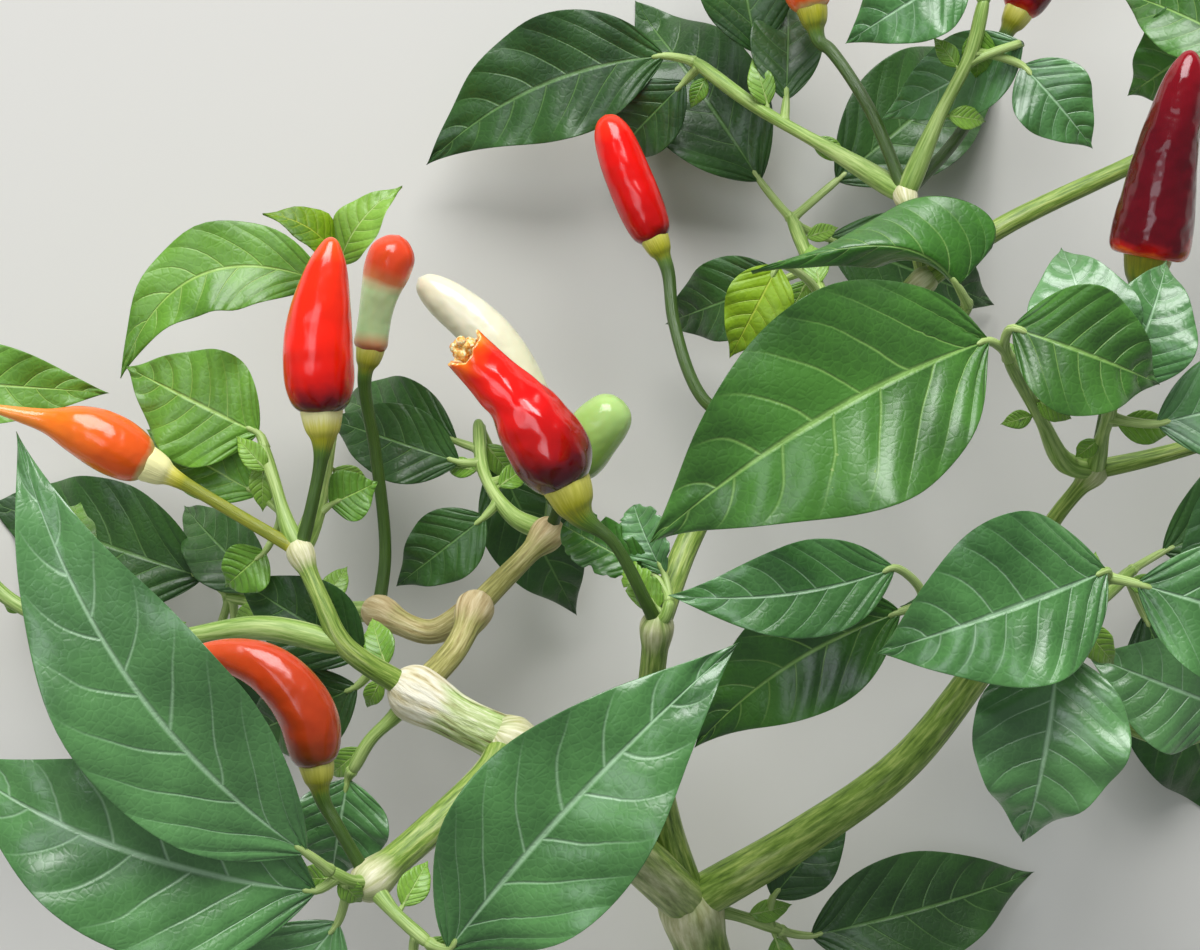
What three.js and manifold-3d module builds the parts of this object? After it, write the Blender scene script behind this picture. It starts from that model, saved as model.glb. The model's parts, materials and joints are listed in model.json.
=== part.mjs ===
// A fruiting chili pepper branch, cut from the bush and lying on its back, in millimetres, +Z up.
// Run it with the npm packages three and manifold-3d. It exports one THREE.Group of named meshes.
import * as THREE from "three";
import { mergeVertices } from "three/addons/utils/BufferGeometryUtils.js";
import Module from "manifold-3d";

const wasm = await Module();
wasm.setup();

// Driving dimensions.
const SIGHT_HEIGHT = 583; // the eye that the places were read from, above the ground
const SHARP_HEIGHT = 62; // height of the plane in which places read true
const GAP = 0.3; // clearance between two pieces that touch on the plant
const LEAST_TOUCH = 1e-3; // volume that counts as two bodies touching
const PETIOLE_RADIUS = 0.85; // leaf stalk
const PETIOLE_SUNK = 2.4; // how far it runs on inside the blade
const PETIOLE_SAG = 0.12; // over its length
const TWIG_RADIUS = 1.2; // foot of a spray's twig
const TWIG_TAPER = 0.2; // thinner at its tip by this share
const LEAF_SOLIDITY = 1 / 50; // blade thickness at the midrib, over blade length
const THINNEST_BLADE = 1.2;
const STALK_RADIUS = 1.15; // fruit stalk
const CUP_RADIUS = 0.57; // calyx rim over fruit radius
const CUP_LENGTH = 4.2; // from the calyx rim to its shoulder
const CUP_OVERLAP = 0.8; // how far the calyx hugs the shoulder of the fruit
const NECK_LENGTH = 7.5; // from the calyx rim to where the stalk is thin again
const COMMON_FRUIT_RADIUS = 5.5; // the fruit radius that the lengths of the calyx are for
const BITE_DEPTH = 3.5; // hollow in the broken end of the bitten fruit
const BITE_RAGGED = 1.3; // how far its rim rises and falls
const NARROWEST_BLADE = 0.07; // width of a blade at its neck and tip, over its widest
const BLADE_POINT = 1.12; // the more, the longer its tip

// The seeded rule's leaves.
const YOUNG_LENGTH = [19.5, 32.5]; // shortest and longest
const YOUNG_HALF = 0.27; // half width over length
const YOUNG_STEM = 0.2; // leaf stalk over length
const YOUNG_BOW = 0.13; // rise of the midrib over length
const YOUNG_DROOP = [10, 45]; // degrees below the level
const YOUNG_FROM = 0.4; // where on the twig the first may grow
const GOLDEN_ANGLE = 137.5; // degrees from one leaf on a twig round to the next

// The seeded rule's numbers.
const SEED_STEP = 7919;
const MULTIPLIER = 16807;
const MODULUS = 2147483647;

// Fineness.
const LIMB_STATION = 10; // spacing of the sections along a limb
const TWIG_STATION = 9;
const LIMB_SIDES = 8;
const STALK_SIDES = 6;
const FRUIT_SIDES = 10;
const TWIG_SIDES = 4;
const PETIOLE_SIDES = 3;
const BLADE_STEPS = 5;
const TWIST_STEP = 5;

// A place is [x, y, height]. x and y are read in the sharp plane and drawn in towards the eye's
// line by the height, so that a leaf held up to the eye stays where it is seen.
function place([x, y, z]) {
  const draw = (SIGHT_HEIGHT - z) / (SIGHT_HEIGHT - SHARP_HEIGHT);
  return new THREE.Vector3(x * draw, y * draw, z);
}

// Forks, bends and tips of the branch, named for where they show.
const CUT = [21, -94, 5.2];
const MAIN_FORK = [14, -67, 26];
const KNEE = [-14.4, -41.7, 66];
const CORKY_FORK = [-29, -34, 63];
const NEAR_FORK = [-36, -63.6, 86];
const LEFT_FORK = [-46.9, -12, 64];
const BACK_FORK = [-19.5, -20.8, 48];
const FAR_FORK = [-8, -9, 38];
const SHADE_FORK = [-34.7, -21.4, 38];
const CENTRE_FORK = [8.9, -23.6, 60];
const UPPER_FORK = [50.8, 30.5, 59];
const TOP_FORK = [47.7, 43.8, 48];
const RIGHT_FORK = [64, -24, 50];
const SMALL_FORK = [77.3, 0.8, 63];
const LEFT_BEND = [-40, -26.6, 67];
const UPPER_BEND = [23.4, 7, 50];
const UPPER_REACH = [37.4, 20, 55];
const OUTER_TIP = [100, 57.3, 56];
const RIGHT_TIP = [103.5, 8, 67];

// Limbs in the order that they grow: path, radius at both ends, and the knob at the far end.
const LIMBS = {
  main_stem: { path: [CUT, [18, -82, 13], MAIN_FORK], radius: [5.6, 4.6], knob: 5.4 },
  left_bough: {
    path: [MAIN_FORK, [3, -57, 44], [-6.3, -47.7, 58], KNEE],
    radius: [4, 3.7],
    knob: 4.3,
  },
  centre_bough: {
    path: [MAIN_FORK, [10, -54, 36], [7.8, -38.3, 50], CENTRE_FORK],
    radius: [3, 2.1],
    knob: 2.7,
  },
  right_bough: {
    path: [MAIN_FORK, [31, -57, 32], [47.5, -45, 38], RIGHT_FORK],
    radius: [3.6, 2.6],
    knob: 3.2,
  },
  corky_limb: { path: [KNEE, [-21, -38.6, 65], CORKY_FORK], radius: [3.7, 3.5], knob: 4.4 },
  near_limb: {
    path: [KNEE, [-17, -46.4, 71], [-26.6, -55.5, 79], NEAR_FORK],
    radius: [2.7, 2.4],
    knob: 3.2,
  },
  left_limb: {
    path: [CORKY_FORK, LEFT_BEND, [-43.6, -19.5, 66.4], LEFT_FORK],
    radius: [1.9, 1.4],
    knob: 2.2,
  },
  back_limb: { path: [CORKY_FORK, [-22.7, -27.3, 55], BACK_FORK], radius: [2.1, 2], knob: 3.1 },
  far_limb: { path: [BACK_FORK, [-14, -15.2, 43], FAR_FORK], radius: [1.9, 1.7], knob: 2.8 },
  shade_limb: { path: [BACK_FORK, [-26.5, -24.5, 43], SHADE_FORK], radius: [2.2, 2], knob: 2.9 },
  upper_limb: {
    path: [CENTRE_FORK, [14, -10, 50], UPPER_BEND, UPPER_REACH, UPPER_FORK],
    radius: [2, 1.7],
    knob: 2.2,
  },
  outer_limb: {
    path: [UPPER_FORK, [62.5, 38.6, 58], [84.4, 49.2, 54], OUTER_TIP],
    radius: [1.7, 1.3],
    knob: 1.6,
  },
  top_limb: { path: [UPPER_FORK, TOP_FORK], radius: [1.3, 1.2], knob: 2 },
  low_right_limb: { path: [RIGHT_FORK, [70, -8.5, 58], SMALL_FORK], radius: [1.6, 1.3], knob: 2.3 },
  right_limb: {
    path: [SMALL_FORK, [86, 2.7, 64], [96, 5.5, 66], RIGHT_TIP],
    radius: [1.5, 1.1],
    knob: 1.4,
  },
};

// Fruits: axis from the calyx to the tip, widest radius, the stalk's way from its fork, the outline
// and the colour.
const FRUITS = {
  upright_red: { axis: [[-43.6, 9.8, 64], [-44, 22, 65], [-41.9, 37.2, 66]], radius: 5.5,
    stalk: [LEFT_FORK, [-44.9, -4, 64]], outline: "plump", colour: "#d0210c" },
  bitten_red: { axis: [[-5.3, -1.6, 64], [-8.5, 5, 64.6], [-14, 12.3, 65.3], [-21, 19.6, 66]], radius: 6.4,
    stalk: [CENTRE_FORK, [7.2, -20, 62.5], [2, -10.5, 64]], outline: "bitten", colour: "#b3101a" },
  cream: { axis: [[-8.6, 6.2, 32], [-16.4, 20.5, 31], [-28.4, 30.8, 30]], radius: 4.1,
    stalk: [FAR_FORK, [-7.2, -2, 35]], outline: "blunt", colour: "#efe9c8" },
  turning: { axis: [[-36, 19.5, 36], [-34.5, 28, 37], [-31.4, 37.5, 38]], radius: 3.9,
    stalk: [SHADE_FORK, [-33.6, -12, 36], [-35.2, 4, 35]], outline: "clubbed", colour: "#e2572c" },
  orange: { axis: [[-70.6, 1.6, 63], [-80, 6.5, 64], [-95.3, 10.6, 65]], radius: 4.7,
    stalk: [LEFT_FORK, [-54.7, -7.4, 63]], outline: "tailed", colour: "#ea6a12" },
  low_orange: { axis: [[-44.4, -45.3, 86], [-46, -37, 87], [-52.5, -30, 87], [-63.3, -27.2, 86]], radius: 4.4,
    stalk: [NEAR_FORK, [-41, -55, 86]], outline: "plump", colour: "#cf4f22" },
  high_red: { axis: [[8.6, 36.7, 30], [4.5, 46.5, 29], [0.8, 56.3, 28]], radius: 3.9,
    stalk: [UPPER_BEND, [16, 12, 43], [11.5, 24, 34]], outline: "blunt", colour: "#df1207" },
  dark_crimson: { axis: [[85.6, 34.2, 64], [88.6, 50, 66], [92.5, 66.4, 67]], radius: 6.3,
    stalk: [SMALL_FORK, [79.5, 12, 64], [83, 24, 63]], outline: "shouldered", colour: "#9c0b2a" },
  top_orange: { axis: [[33.1, 72.7, 38], [30.5, 84, 37], [27.5, 95, 36]], radius: 4.2,
    stalk: [TOP_FORK, [42.2, 57, 45], [36, 66.4, 40]], outline: "plump", colour: "#d8431a" },
  top_dark_red: { axis: [[65.3, 72.3, 34], [70.5, 82, 33], [76, 91, 32]], radius: 4,
    stalk: [TOP_FORK, [56, 53, 42], [62, 64, 36]], outline: "plump", colour: "#a3171c" },
  young_green: { axis: [[-4.7, 0.8, 44], [-1, 6.5, 45], [3.6, 11.6, 46]], radius: 4.6,
    stalk: [FAR_FORK, [-6.5, -4.5, 42]], outline: "blunt", colour: "#86b04a" },
};

// A leaf: at is how far along its twig it grows, neck where its blade begins, half its half width.
// bow lifts the middle of the midrib towards the face and sway bends it aside. roll turns the face
// about the midrib and fold raises each half, in degrees. twist turns the tip on against the neck, and
// two bends, where they are given, draw the midrib after them in place of bow and sway. widest is the
// share of its length at which it is widest.
const USUAL_LEAF = { bow: 3, sway: 0, roll: 0, fold: 12, twist: 0, bends: [], widest: 0.38 };
const leaf = (at, neck, tip, half, shape) => ({ at, neck, tip, half, ...USUAL_LEAF, ...shape });

// Sprays: the twig's path, the leaves that are placed, and how many more the seeded rule adds.
const SPRAYS = {
  spray_behind_fruit: {
    twig: [LEFT_FORK, [-44, -4, 55], [-41.4, 11.7, 48], [-41, 27, 46]],
    leaves: [
      leaf(0.15, [-42.2, -4.7, 57], [-34.7, -1.1, 56], 4.2, { bow: 1 }),
      leaf(1, [-43, 30, 46], [-75.3, 15.2, 48], 7.5, { sway: -9, roll: 15 }),
      leaf(1, [-40.6, 33, 48], [-30.9, 45.2, 50], 4.2, { roll: -25 }),
      leaf(1, [-41.5, 34, 50], [-52.8, 41, 55], 3.8, { roll: 35 }),
    ],
  },
  spray_left_near: {
    twig: [LEFT_FORK, [-48.8, -8, 62.5], [-51, -0.8, 60], [-52.8, 4.7, 58]],
    leaves: [
      leaf(0.95, [-53.4, 6.5, 57.5], [-74.2, 17, 54], 9.5, { bow: 1.5, fold: 5 }),
      leaf(0.4, [-52.4, -12, 59], [-58.6, -17.6, 57], 4.2, { bow: 2 }),
      leaf(0.35, [-53.4, -3, 55], [-71, 7.2, 46], 5.5),
    ],
  },
  spray_left_edge: {
    twig: [LEFT_BEND, [-52.8, -23.9, 64], [-73.4, -25.8, 62], [-92.2, -19.5, 60], [-104, -5, 57]],
    leaves: [leaf(1, [-108, 15, 55], [-76.6, 12.8, 54], 6.4), leaf(1, [-107, -8, 55], [-112, -34, 46], 8)],
    young: 2,
    seed: 3,
  },
  spray_low_left: {
    twig: [NEAR_FORK, [-39, -63.5, 90], [-42, -62, 92]],
    leaves: [
      leaf(1, [-46, -59, 95], [-91.4, 7, 106], 12.5, { bow: 6, sway: 6 }),
      leaf(0.85, [-44.5, -65, 91], [-104, -43, 94], 14, { bow: 7, sway: 3 }),
      leaf(0.7, [-41, -70, 86], [-64, -98, 66], 11.5, { bow: 5 }),
    ],
  },
  spray_low_front: {
    twig: [NEAR_FORK, [-32, -68.5, 89], [-27, -73, 91]],
    leaves: [
      leaf(1, [-23.5, -74, 92], [22, -26, 99], 13.5, { bow: 6, sway: 2 }),
      leaf(0.85, [-29, -76, 88], [-12, -101, 68], 10.5, { bow: 5 }),
    ],
  },
  spray_hanging_leaf: {
    twig: [CORKY_FORK, [-32, -37.6, 62], [-35.9, -41.4, 62], [-38.6, -46, 61]],
    leaves: [leaf(1, [-39.4, -47.5, 60], [-42, -63.5, 54], 7.8, { bow: 2 })],
  },
  spray_shaded_leaf: {
    twig: [CORKY_FORK, [-33, -31.5, 59], [-36, -29, 57]],
    leaves: [leaf(1, [-37, -28, 56.5], [-57, -16, 54], 7), leaf(0.9, [-38, -33, 55], [-56, -41, 46], 7)],
  },
  spray_centre: {
    twig: [CENTRE_FORK, [10.4, -21.8, 62], [10.8, -20, 61.5]],
    leaves: [
      leaf(1, [8.4, -15.6, 58.5], [-5.9, -7.8, 56], 4.4, { bow: 1, fold: 20, widest: 0.6 }),
      leaf(1, [10, -15.4, 59], [5.2, -4.6, 57.5], 4, { bow: 1, roll: -15, widest: 0.58 }),
    ],
  },
  spray_right_low: {
    twig: [RIGHT_FORK, [57, -21.4, 54], [51, -20.2, 57]],
    leaves: [
      leaf(1, [46.9, -21.4, 57], [14.5, -43, 52], 9.5, { bow: 3, sway: -3 }),
      leaf(1, [46, -14.5, 62], [10.5, -18.8, 65], 7.5, { bow: 2, sway: 2 }),
    ],
  },
  spray_right_front: {
    twig: [RIGHT_FORK, [70, -25, 66], [76, -20, 84], [79, -16, 91]],
    leaves: [
      leaf(1, [79, -15, 94], [43, -28, 95], 12.5, { bow: 6 }),
      leaf(0.85, [71.5, -27, 89], [66, -58, 84], 11.5, { bow: 6 }),
      leaf(1, [84, -17, 93], [114, -26, 78], 10.5, { bow: 6 }),
    ],
  },
  spray_right_arch: {
    twig: [SMALL_FORK, [72.7, 2, 66], [69, 8.6, 74], [64, 18, 90]],
    leaves: [
      leaf(1, [60.5, 21, 95], [7.5, -10.9, 100], 16, { bow: 8, sway: -3 }),
      leaf(1, [64.5, 23, 97], [88, 14, 91], 9.5, { bow: 4 }),
    ],
  },
  spray_right_top: {
    twig: [SMALL_FORK, [78.4, 5.5, 70], [80, 11, 82]],
    leaves: [
      leaf(1, [81.5, 13.5, 84], [88.5, 33.5, 80], 7.5, { bow: 4 }),
      leaf(1, [77.5, 15, 85], [72, 36, 80], 8.5, { bow: 5 }),
      leaf(0.8, [87, 8, 80], [111, 14, 72], 8, { bow: 5 }),
    ],
  },
  spray_right_end: {
    twig: [RIGHT_TIP, [107, 8.6, 67.5], [112, 10, 64]],
    leaves: [leaf(0.6, [107, 4, 68], [89, -18, 64], 6.5)],
    young: 1,
    seed: 5,
  },
  spray_right_edge: {
    twig: [RIGHT_FORK, [76, -36, 47], [90, -41.5, 47], [97, -39, 49]],
    leaves: [
      leaf(1, [97.5, -36.4, 50], [76, -28, 56], 9.5),
      leaf(0.9, [99, -44, 46], [118, -66, 28], 9, { bow: 5 }),
    ],
    young: 1,
    seed: 2,
  },
  spray_outer_end: {
    twig: [OUTER_TIP, [103, 60, 56], [105, 66, 53], [106, 72, 47]],
    leaves: [leaf(0.9, [101, 72, 48], [82, 59, 36], 8, { bow: 4 })],
    young: 3,
    seed: 7,
  },
  spray_folded_leaf: {
    twig: [UPPER_REACH, [46, 20.5, 58], [55, 23.5, 60], [57.5, 26.5, 62.5]],
    leaves: [
      leaf(1, [55.9, 29.5, 66], [23.4, 32.2, 68], 6.5, {
        roll: -2, fold: -58, twist: 90, widest: 0.1, bends: [[49, 40, 74], [37, 35, 73]],
      }),
    ],
  },
  spray_top_left: {
    twig: [TOP_FORK, [37.5, 50, 38], [24.5, 57.5, 28], [15, 64.5, 21]],
    leaves: [
      leaf(1, [10, 65.5, 19], [-27.3, 48.4, 11], 10.5, { bow: 1.5, sway: -4 }),
      leaf(0.7, [24.5, 66, 26], [19, 92, 18], 8, { bow: 4 }),
    ],
    young: 2,
    seed: 4,
  },
  spray_top_right: {
    twig: [TOP_FORK, [53, 56, 51], [58, 66, 54], [60, 74, 55]],
    leaves: [
      leaf(1, [57, 79, 55], [38.3, 67.4, 54], 7.5),
      leaf(0.75, [66, 64, 52], [77, 51, 50], 6.5, { bow: 2 }),
      leaf(0.7, [66, 67.5, 52], [43.8, 55.5, 40], 6.5, { bow: 0 }),
      leaf(1, [60.5, 80, 53], [55, 100, 42], 7, { bow: 4 }),
    ],
  },
  spray_low_right: {
    twig: [MAIN_FORK, [22, -69, 22], [28, -71, 18]],
    leaves: [
      leaf(0.9, [27, -66, 22], [39, -50, 22], 5.8, { bow: 2 }),
      leaf(1, [33, -72, 15], [68, -62, 5], 10, { bow: 5 }),
      leaf(1, [31, -76, 12], [60, -99, -5], 9.5, { bow: 6 }),
    ],
  },
  spray_middle: {
    twig: [FAR_FORK, [-13.5, -6.5, 34], [-18, 0, 28], [-19, 8, 20]],
    leaves: [
      leaf(0.4, [-18, -6.5, 32], [-32, -17.5, 27], 6, { bow: 2 }),
      leaf(0.7, [-22, 2, 26], [-43, 9, 18], 6.5),
    ],
    young: 3,
    seed: 1,
  },
  spray_left_ground: {
    twig: [SHADE_FORK, [-46, -21, 26], [-58, -19, 15]],
    leaves: [
      leaf(1, [-62, -16, 11], [-95, -4, -6], 11, { bow: 6 }),
      leaf(1, [-60, -25, 11], [-78, -57, -6], 11, { bow: 6 }),
    ],
    young: 2,
    seed: 6,
  },
  spray_right_ground: {
    twig: [RIGHT_FORK, [76, -21, 32], [83, -15, 16]],
    leaves: [
      leaf(1, [88, -12, 11], [117, 3, -7], 10.5, { bow: 6 }),
      leaf(0.95, [85, -22, 12], [97, -54, -6], 10.5, { bow: 6 }),
    ],
    young: 1,
    seed: 8,
  },
  spray_top_ground: {
    twig: [UPPER_REACH, [34, 30, 34], [30, 40, 17]],
    leaves: [
      leaf(1, [25, 46, 11], [5, 74, -6], 10.5, { bow: 6 }),
      leaf(1, [37, 46, 11], [63, 67, -6], 10.5, { bow: 6 }),
      leaf(0.2, [27.8, 32.8, 60], [20.2, 18.2, 57], 5.3, { bow: 2, fold: 8 }),
    ],
    young: 2,
    seed: 9,
  },
};

// Numbers between 0 and 1, the same on every run.
function seeded(seed) {
  let state = seed * SEED_STEP;
  return () => {
    state = (state * MULTIPLIER) % MODULUS;
    return state / MODULUS;
  };
}

const throughPoints = (points) => new THREE.CatmullRomCurve3(points, false, "centripetal");

const curveThrough = (places) => throughPoints(places.map(place));

// The seeded rule: each next leaf grows further along the twig and a golden angle further round it,
// and droops. Twigs and headings are in the same coordinates as the places.
function youngLeaves({ twig, young = 0, seed = 1 }) {
  const way = throughPoints(twig.map((point) => new THREE.Vector3(...point)));
  const random = seeded(seed);
  const between = ([least, most]) => THREE.MathUtils.lerp(least, most, random());
  const start = between([0, 360]);
  const leaves = [];
  for (let i = 0; i < young; i++) {
    const at = YOUNG_FROM + ((1 - YOUNG_FROM) * (i + random())) / young;
    const round = THREE.MathUtils.degToRad(start + i * GOLDEN_ANGLE);
    const droop = THREE.MathUtils.degToRad(between(YOUNG_DROOP));
    const length = between(YOUNG_LENGTH);
    const heading = new THREE.Vector3().setFromSphericalCoords(1, Math.PI / 2 + droop, 0);
    heading.set(heading.z * Math.cos(round), heading.z * Math.sin(round), heading.y);
    const neck = way.getPointAt(at).addScaledVector(heading, YOUNG_STEM * length);
    const tip = neck.clone().addScaledVector(heading, length);
    leaves.push(leaf(at, neck.toArray(), tip.toArray(), YOUNG_HALF * length, { bow: YOUNG_BOW * length }));
  }
  return leaves;
}

// The axis whose direction a line runs along least, to measure its section from.
function steadyAxis(curve) {
  const axes = [new THREE.Vector3(0, 0, 1), new THREE.Vector3(0, 1, 0), new THREE.Vector3(1, 0, 0)];
  const along = (axis) => Math.max(...[0, 0.5, 1].map((t) => Math.abs(curve.getTangentAt(t).dot(axis))));
  return axes.reduce((best, axis) => (along(axis) < along(best) - 0.25 ? axis : best));
}

// A closed geometry as a solid for joining and cutting. Triangles that shrank to a line are left out.
function solid(geometry) {
  geometry.deleteAttribute("normal");
  geometry.deleteAttribute("uv");
  const merged = mergeVertices(geometry, 1e-4);
  const corners = Array.from(merged.index.array);
  const kept = [];
  for (let i = 0; i < corners.length; i += 3) {
    const [a, b, c] = corners.slice(i, i + 3);
    if (a !== b && b !== c && c !== a) {
      kept.push(a, b, c);
    }
  }
  const mesh = new wasm.Mesh({
    numProp: 3,
    vertProperties: Float32Array.from(merged.getAttribute("position").array),
    triVerts: Uint32Array.from(kept),
  });
  return new wasm.Manifold(mesh);
}

// Turns a profile of [distance, radius] pairs, closed on its axis, and bends it along a curve.
// Distances past either end of the curve run straight on. shift moves a point along the curve.
function turned(curve, profile, sides, shift = () => 0) {
  const points = profile.map(([distance, radius]) => new THREE.Vector2(radius, distance));
  const lathe = new THREE.LatheGeometry(points, sides);
  const length = curve.getLength();
  const axis = steadyAxis(curve);
  const position = lathe.getAttribute("position");
  const point = new THREE.Vector3();
  for (let i = 0; i < position.count; i++) {
    point.fromBufferAttribute(position, i);
    const distance = point.y + shift(Math.atan2(point.z, point.x), Math.hypot(point.x, point.z));
    const t = THREE.MathUtils.clamp(distance / length, 0, 1);
    const tangent = curve.getTangentAt(t);
    const across = new THREE.Vector3().crossVectors(tangent, axis).normalize();
    const over = new THREE.Vector3().crossVectors(across, tangent);
    const centre = curve.getPointAt(t).addScaledVector(tangent, distance - t * length);
    centre.addScaledVector(across, point.x).addScaledVector(over, point.z);
    position.setXYZ(i, centre.x, centre.y, centre.z);
  }
  return solid(lathe);
}

// The knob: distance from the limb's end in knob radii, and share of the way from limb to knob. Its
// blunt end is a distance and a radius, both in knob radii.
const SWELL = [[-1.3, 0.25], [-0.5, 0.93], [0.25, 0.96]];
const KNOB_END = [0.8, 0.5];

// A limb tapers to its far end and swells there into a knob. extra thickens it all round.
function limb({ path, radius, knob }, extra = 0) {
  const curve = curveThrough(path);
  const length = curve.getLength();
  const thick = (distance) => THREE.MathUtils.lerp(radius[0], radius[1], distance / length) + extra;
  const evenUntil = length + SWELL[0][0] * knob;
  const stations = Math.max(1, Math.round(evenUntil / LIMB_STATION));
  const profile = [[-extra, 0], [-extra, thick(0)]];
  for (let i = 1; i < stations; i++) {
    profile.push([(evenUntil * i) / stations, thick((evenUntil * i) / stations)]);
  }
  for (const [away, share] of SWELL) {
    profile.push([length + away * knob, THREE.MathUtils.lerp(radius[1], knob, share) + extra]);
  }
  const end = length + KNOB_END[0] * knob + extra;
  profile.push([end, KNOB_END[1] * knob + extra], [end, 0]);
  return turned(curve, profile, LIMB_SIDES);
}

// Fruit outlines: share of the length from the calyx, and share of the widest radius.
const OUTLINES = {
  plump: [[0, 0.52], [0.04, 0.78], [0.14, 0.96], [0.3, 1], [0.52, 0.91], [0.72, 0.72], [0.88, 0.48],
    [0.98, 0.2]],
  blunt: [[0, 0.52], [0.05, 0.8], [0.2, 0.97], [0.45, 1], [0.7, 0.93], [0.88, 0.74], [0.97, 0.42]],
  clubbed: [[0, 0.52], [0.04, 0.7], [0.15, 0.7], [0.3, 0.71], [0.5, 0.82], [0.7, 1], [0.86, 0.94],
    [0.97, 0.46]],
  shouldered: [[0, 0.86], [0.03, 0.98], [0.12, 1], [0.35, 0.86], [0.62, 0.68], [0.88, 0.46], [0.98, 0.2]],
  tailed: [[0, 0.5], [0.05, 0.78], [0.18, 0.98], [0.34, 0.97], [0.5, 0.76], [0.66, 0.42], [0.82, 0.26],
    [0.98, 0.13]],
  bitten: [[0, 0.56], [0.04, 0.74], [0.12, 0.91], [0.26, 1], [0.42, 0.92], [0.6, 0.76], [0.78, 0.63],
    [1, 0.57]],
};

// The hollow in the broken end: share of the depth, and share of the rim's radius.
const HOLLOW = [[0, 0.7], [0.8, 0.4], [1, 0]];

// A fruit on its bent axis. The bitten one ends in a ragged rim round a shallow hollow.
function fruit({ axis, radius, outline }, extra = 0) {
  const curve = curveThrough(axis);
  const length = curve.getLength();
  const profile = OUTLINES[outline].map(([along, share]) => [along * length, share * radius + extra]);
  profile[0][0] -= extra;
  profile.unshift([profile[0][0], 0]);
  if (outline !== "bitten") {
    profile.push([length + extra, 0]);
    return turned(curve, profile, FRUIT_SIDES);
  }
  const rim = profile.at(-1)[1];
  for (const [depth, share] of HOLLOW) {
    profile.push([length - depth * BITE_DEPTH + (depth ? 0 : extra), share * rim]);
  }
  const onRim = (away) => away > 0.65 * rim && away < 1.02 * rim;
  const ragged = (angle, away) => (onRim(away) ? BITE_RAGGED * Math.sin(3 * angle + 1) : 0);
  return turned(curve, profile, FRUIT_SIDES, ragged);
}

// The calyx: distance from its rim in cup lengths, and radius in rim radii.
const CALYX = [[-1, 0.62], [-0.7, 0.85]];
const CALYX_RIM = 1.06;

// A fruit's stalk, thin from its fork and widening to the calyx, hollowed to hug the fruit. It runs
// straight into the fruit for most of its neck.
function stalk(part, extra = 0) {
  const base = place(part.axis[0]);
  const inward = curveThrough(part.axis).getTangentAt(0);
  const nape = base.clone().addScaledVector(inward, -0.7 * NECK_LENGTH);
  const curve = throughPoints([...part.stalk.map(place), nape, base]);
  const length = curve.getLength();
  const cup = CUP_RADIUS * part.radius;
  const size = part.radius / COMMON_FRUIT_RADIUS;
  const thinUntil = length - NECK_LENGTH * size;
  const profile = [[-extra, 0], [-extra, STALK_RADIUS + extra]];
  for (const share of [1 / 3, 2 / 3, 1]) {
    profile.push([thinUntil * share, STALK_RADIUS + extra]);
  }
  for (const [away, share] of CALYX) {
    profile.push([length + away * CUP_LENGTH * size, share * cup + extra]);
  }
  const end = length + CUP_OVERLAP * size + extra;
  profile.push([end, CALYX_RIM * cup + extra], [end, 0]);
  return turned(curve, profile, STALK_SIDES);
}

// Width of a leaf from neck to tip, as a share of its half width. It never quite closes.
function bladeWidth(along, widest) {
  const arc = Math.PI * along ** (Math.log(0.5) / Math.log(widest));
  return NARROWEST_BLADE + (1 - NARROWEST_BLADE) * Math.sin(arc) ** BLADE_POINT;
}

// Splits the faces above and below each margin of a four-sided prism alike, by one diagonal, so that
// they don't cross where the blade is twisted.
function splitAlike(prism, steps) {
  const corners = prism.getIndex().array;
  for (const side of [1, 3]) {
    for (let face = side * steps; face < (side + 1) * steps; face++) {
      const [a, b, d, , c] = corners.slice(6 * face, 6 * face + 6);
      corners.set([a, b, c, a, c, d], 6 * face);
    }
  }
}

// A leaf's blade: four-sided, thickest at its bowed midrib and sharp at its margins, each half raised
// by the fold. What would reach below the ground lies on it.
function blade({ neck, tip, half, bow, sway, roll, fold, twist, bends, widest }) {
  const start = place(neck);
  const end = place(tip);
  const along = end.clone().sub(start).normalize();
  const turn = THREE.MathUtils.degToRad(roll);
  const aside = new THREE.Vector3(-along.y, along.x, 0).normalize();
  const face = new THREE.Vector3().crossVectors(along, aside).applyAxisAngle(along, turn);
  aside.applyAxisAngle(along, turn);
  const middle = start.clone().lerp(end, 0.5).addScaledVector(face, 2 * bow);
  middle.addScaledVector(aside, 2 * sway);
  const midrib = bends.length
    ? new THREE.CubicBezierCurve3(start, ...bends.map(place), end)
    : new THREE.QuadraticBezierCurve3(start, middle, end);
  const slant = THREE.MathUtils.degToRad(fold);
  const thickness = Math.max(THINNEST_BLADE, midrib.getLength() * LEAF_SOLIDITY) / Math.cos(slant);
  const lift = Math.tan(slant);
  const steps = BLADE_STEPS + Math.round(Math.abs(twist) / TWIST_STEP);
  const prism = new THREE.CylinderGeometry(1, 1, 1, 4, steps);
  splitAlike(prism, steps);
  const position = prism.getAttribute("position");
  for (let i = 0; i < position.count; i++) {
    const t = position.getY(i) + 0.5;
    const side = position.getX(i) * bladeWidth(t, widest) * half;
    const tangent = midrib.getTangent(t);
    const out = new THREE.Vector3().crossVectors(face, tangent).normalize();
    out.applyAxisAngle(tangent, THREE.MathUtils.degToRad(twist * (t - 0.5)));
    const up = new THREE.Vector3().crossVectors(tangent, out);
    const point = midrib.getPoint(t).addScaledVector(out, side);
    point.addScaledVector(up, Math.abs(side) * lift);
    const below = Math.max(0, (thickness / 2) * Math.abs(up.z) - point.z);
    point.addScaledVector(up, (-position.getZ(i) * thickness) / 2);
    position.setXYZ(i, point.x, point.y, point.z + below);
  }
  return { body: solid(prism), midrib };
}

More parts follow.
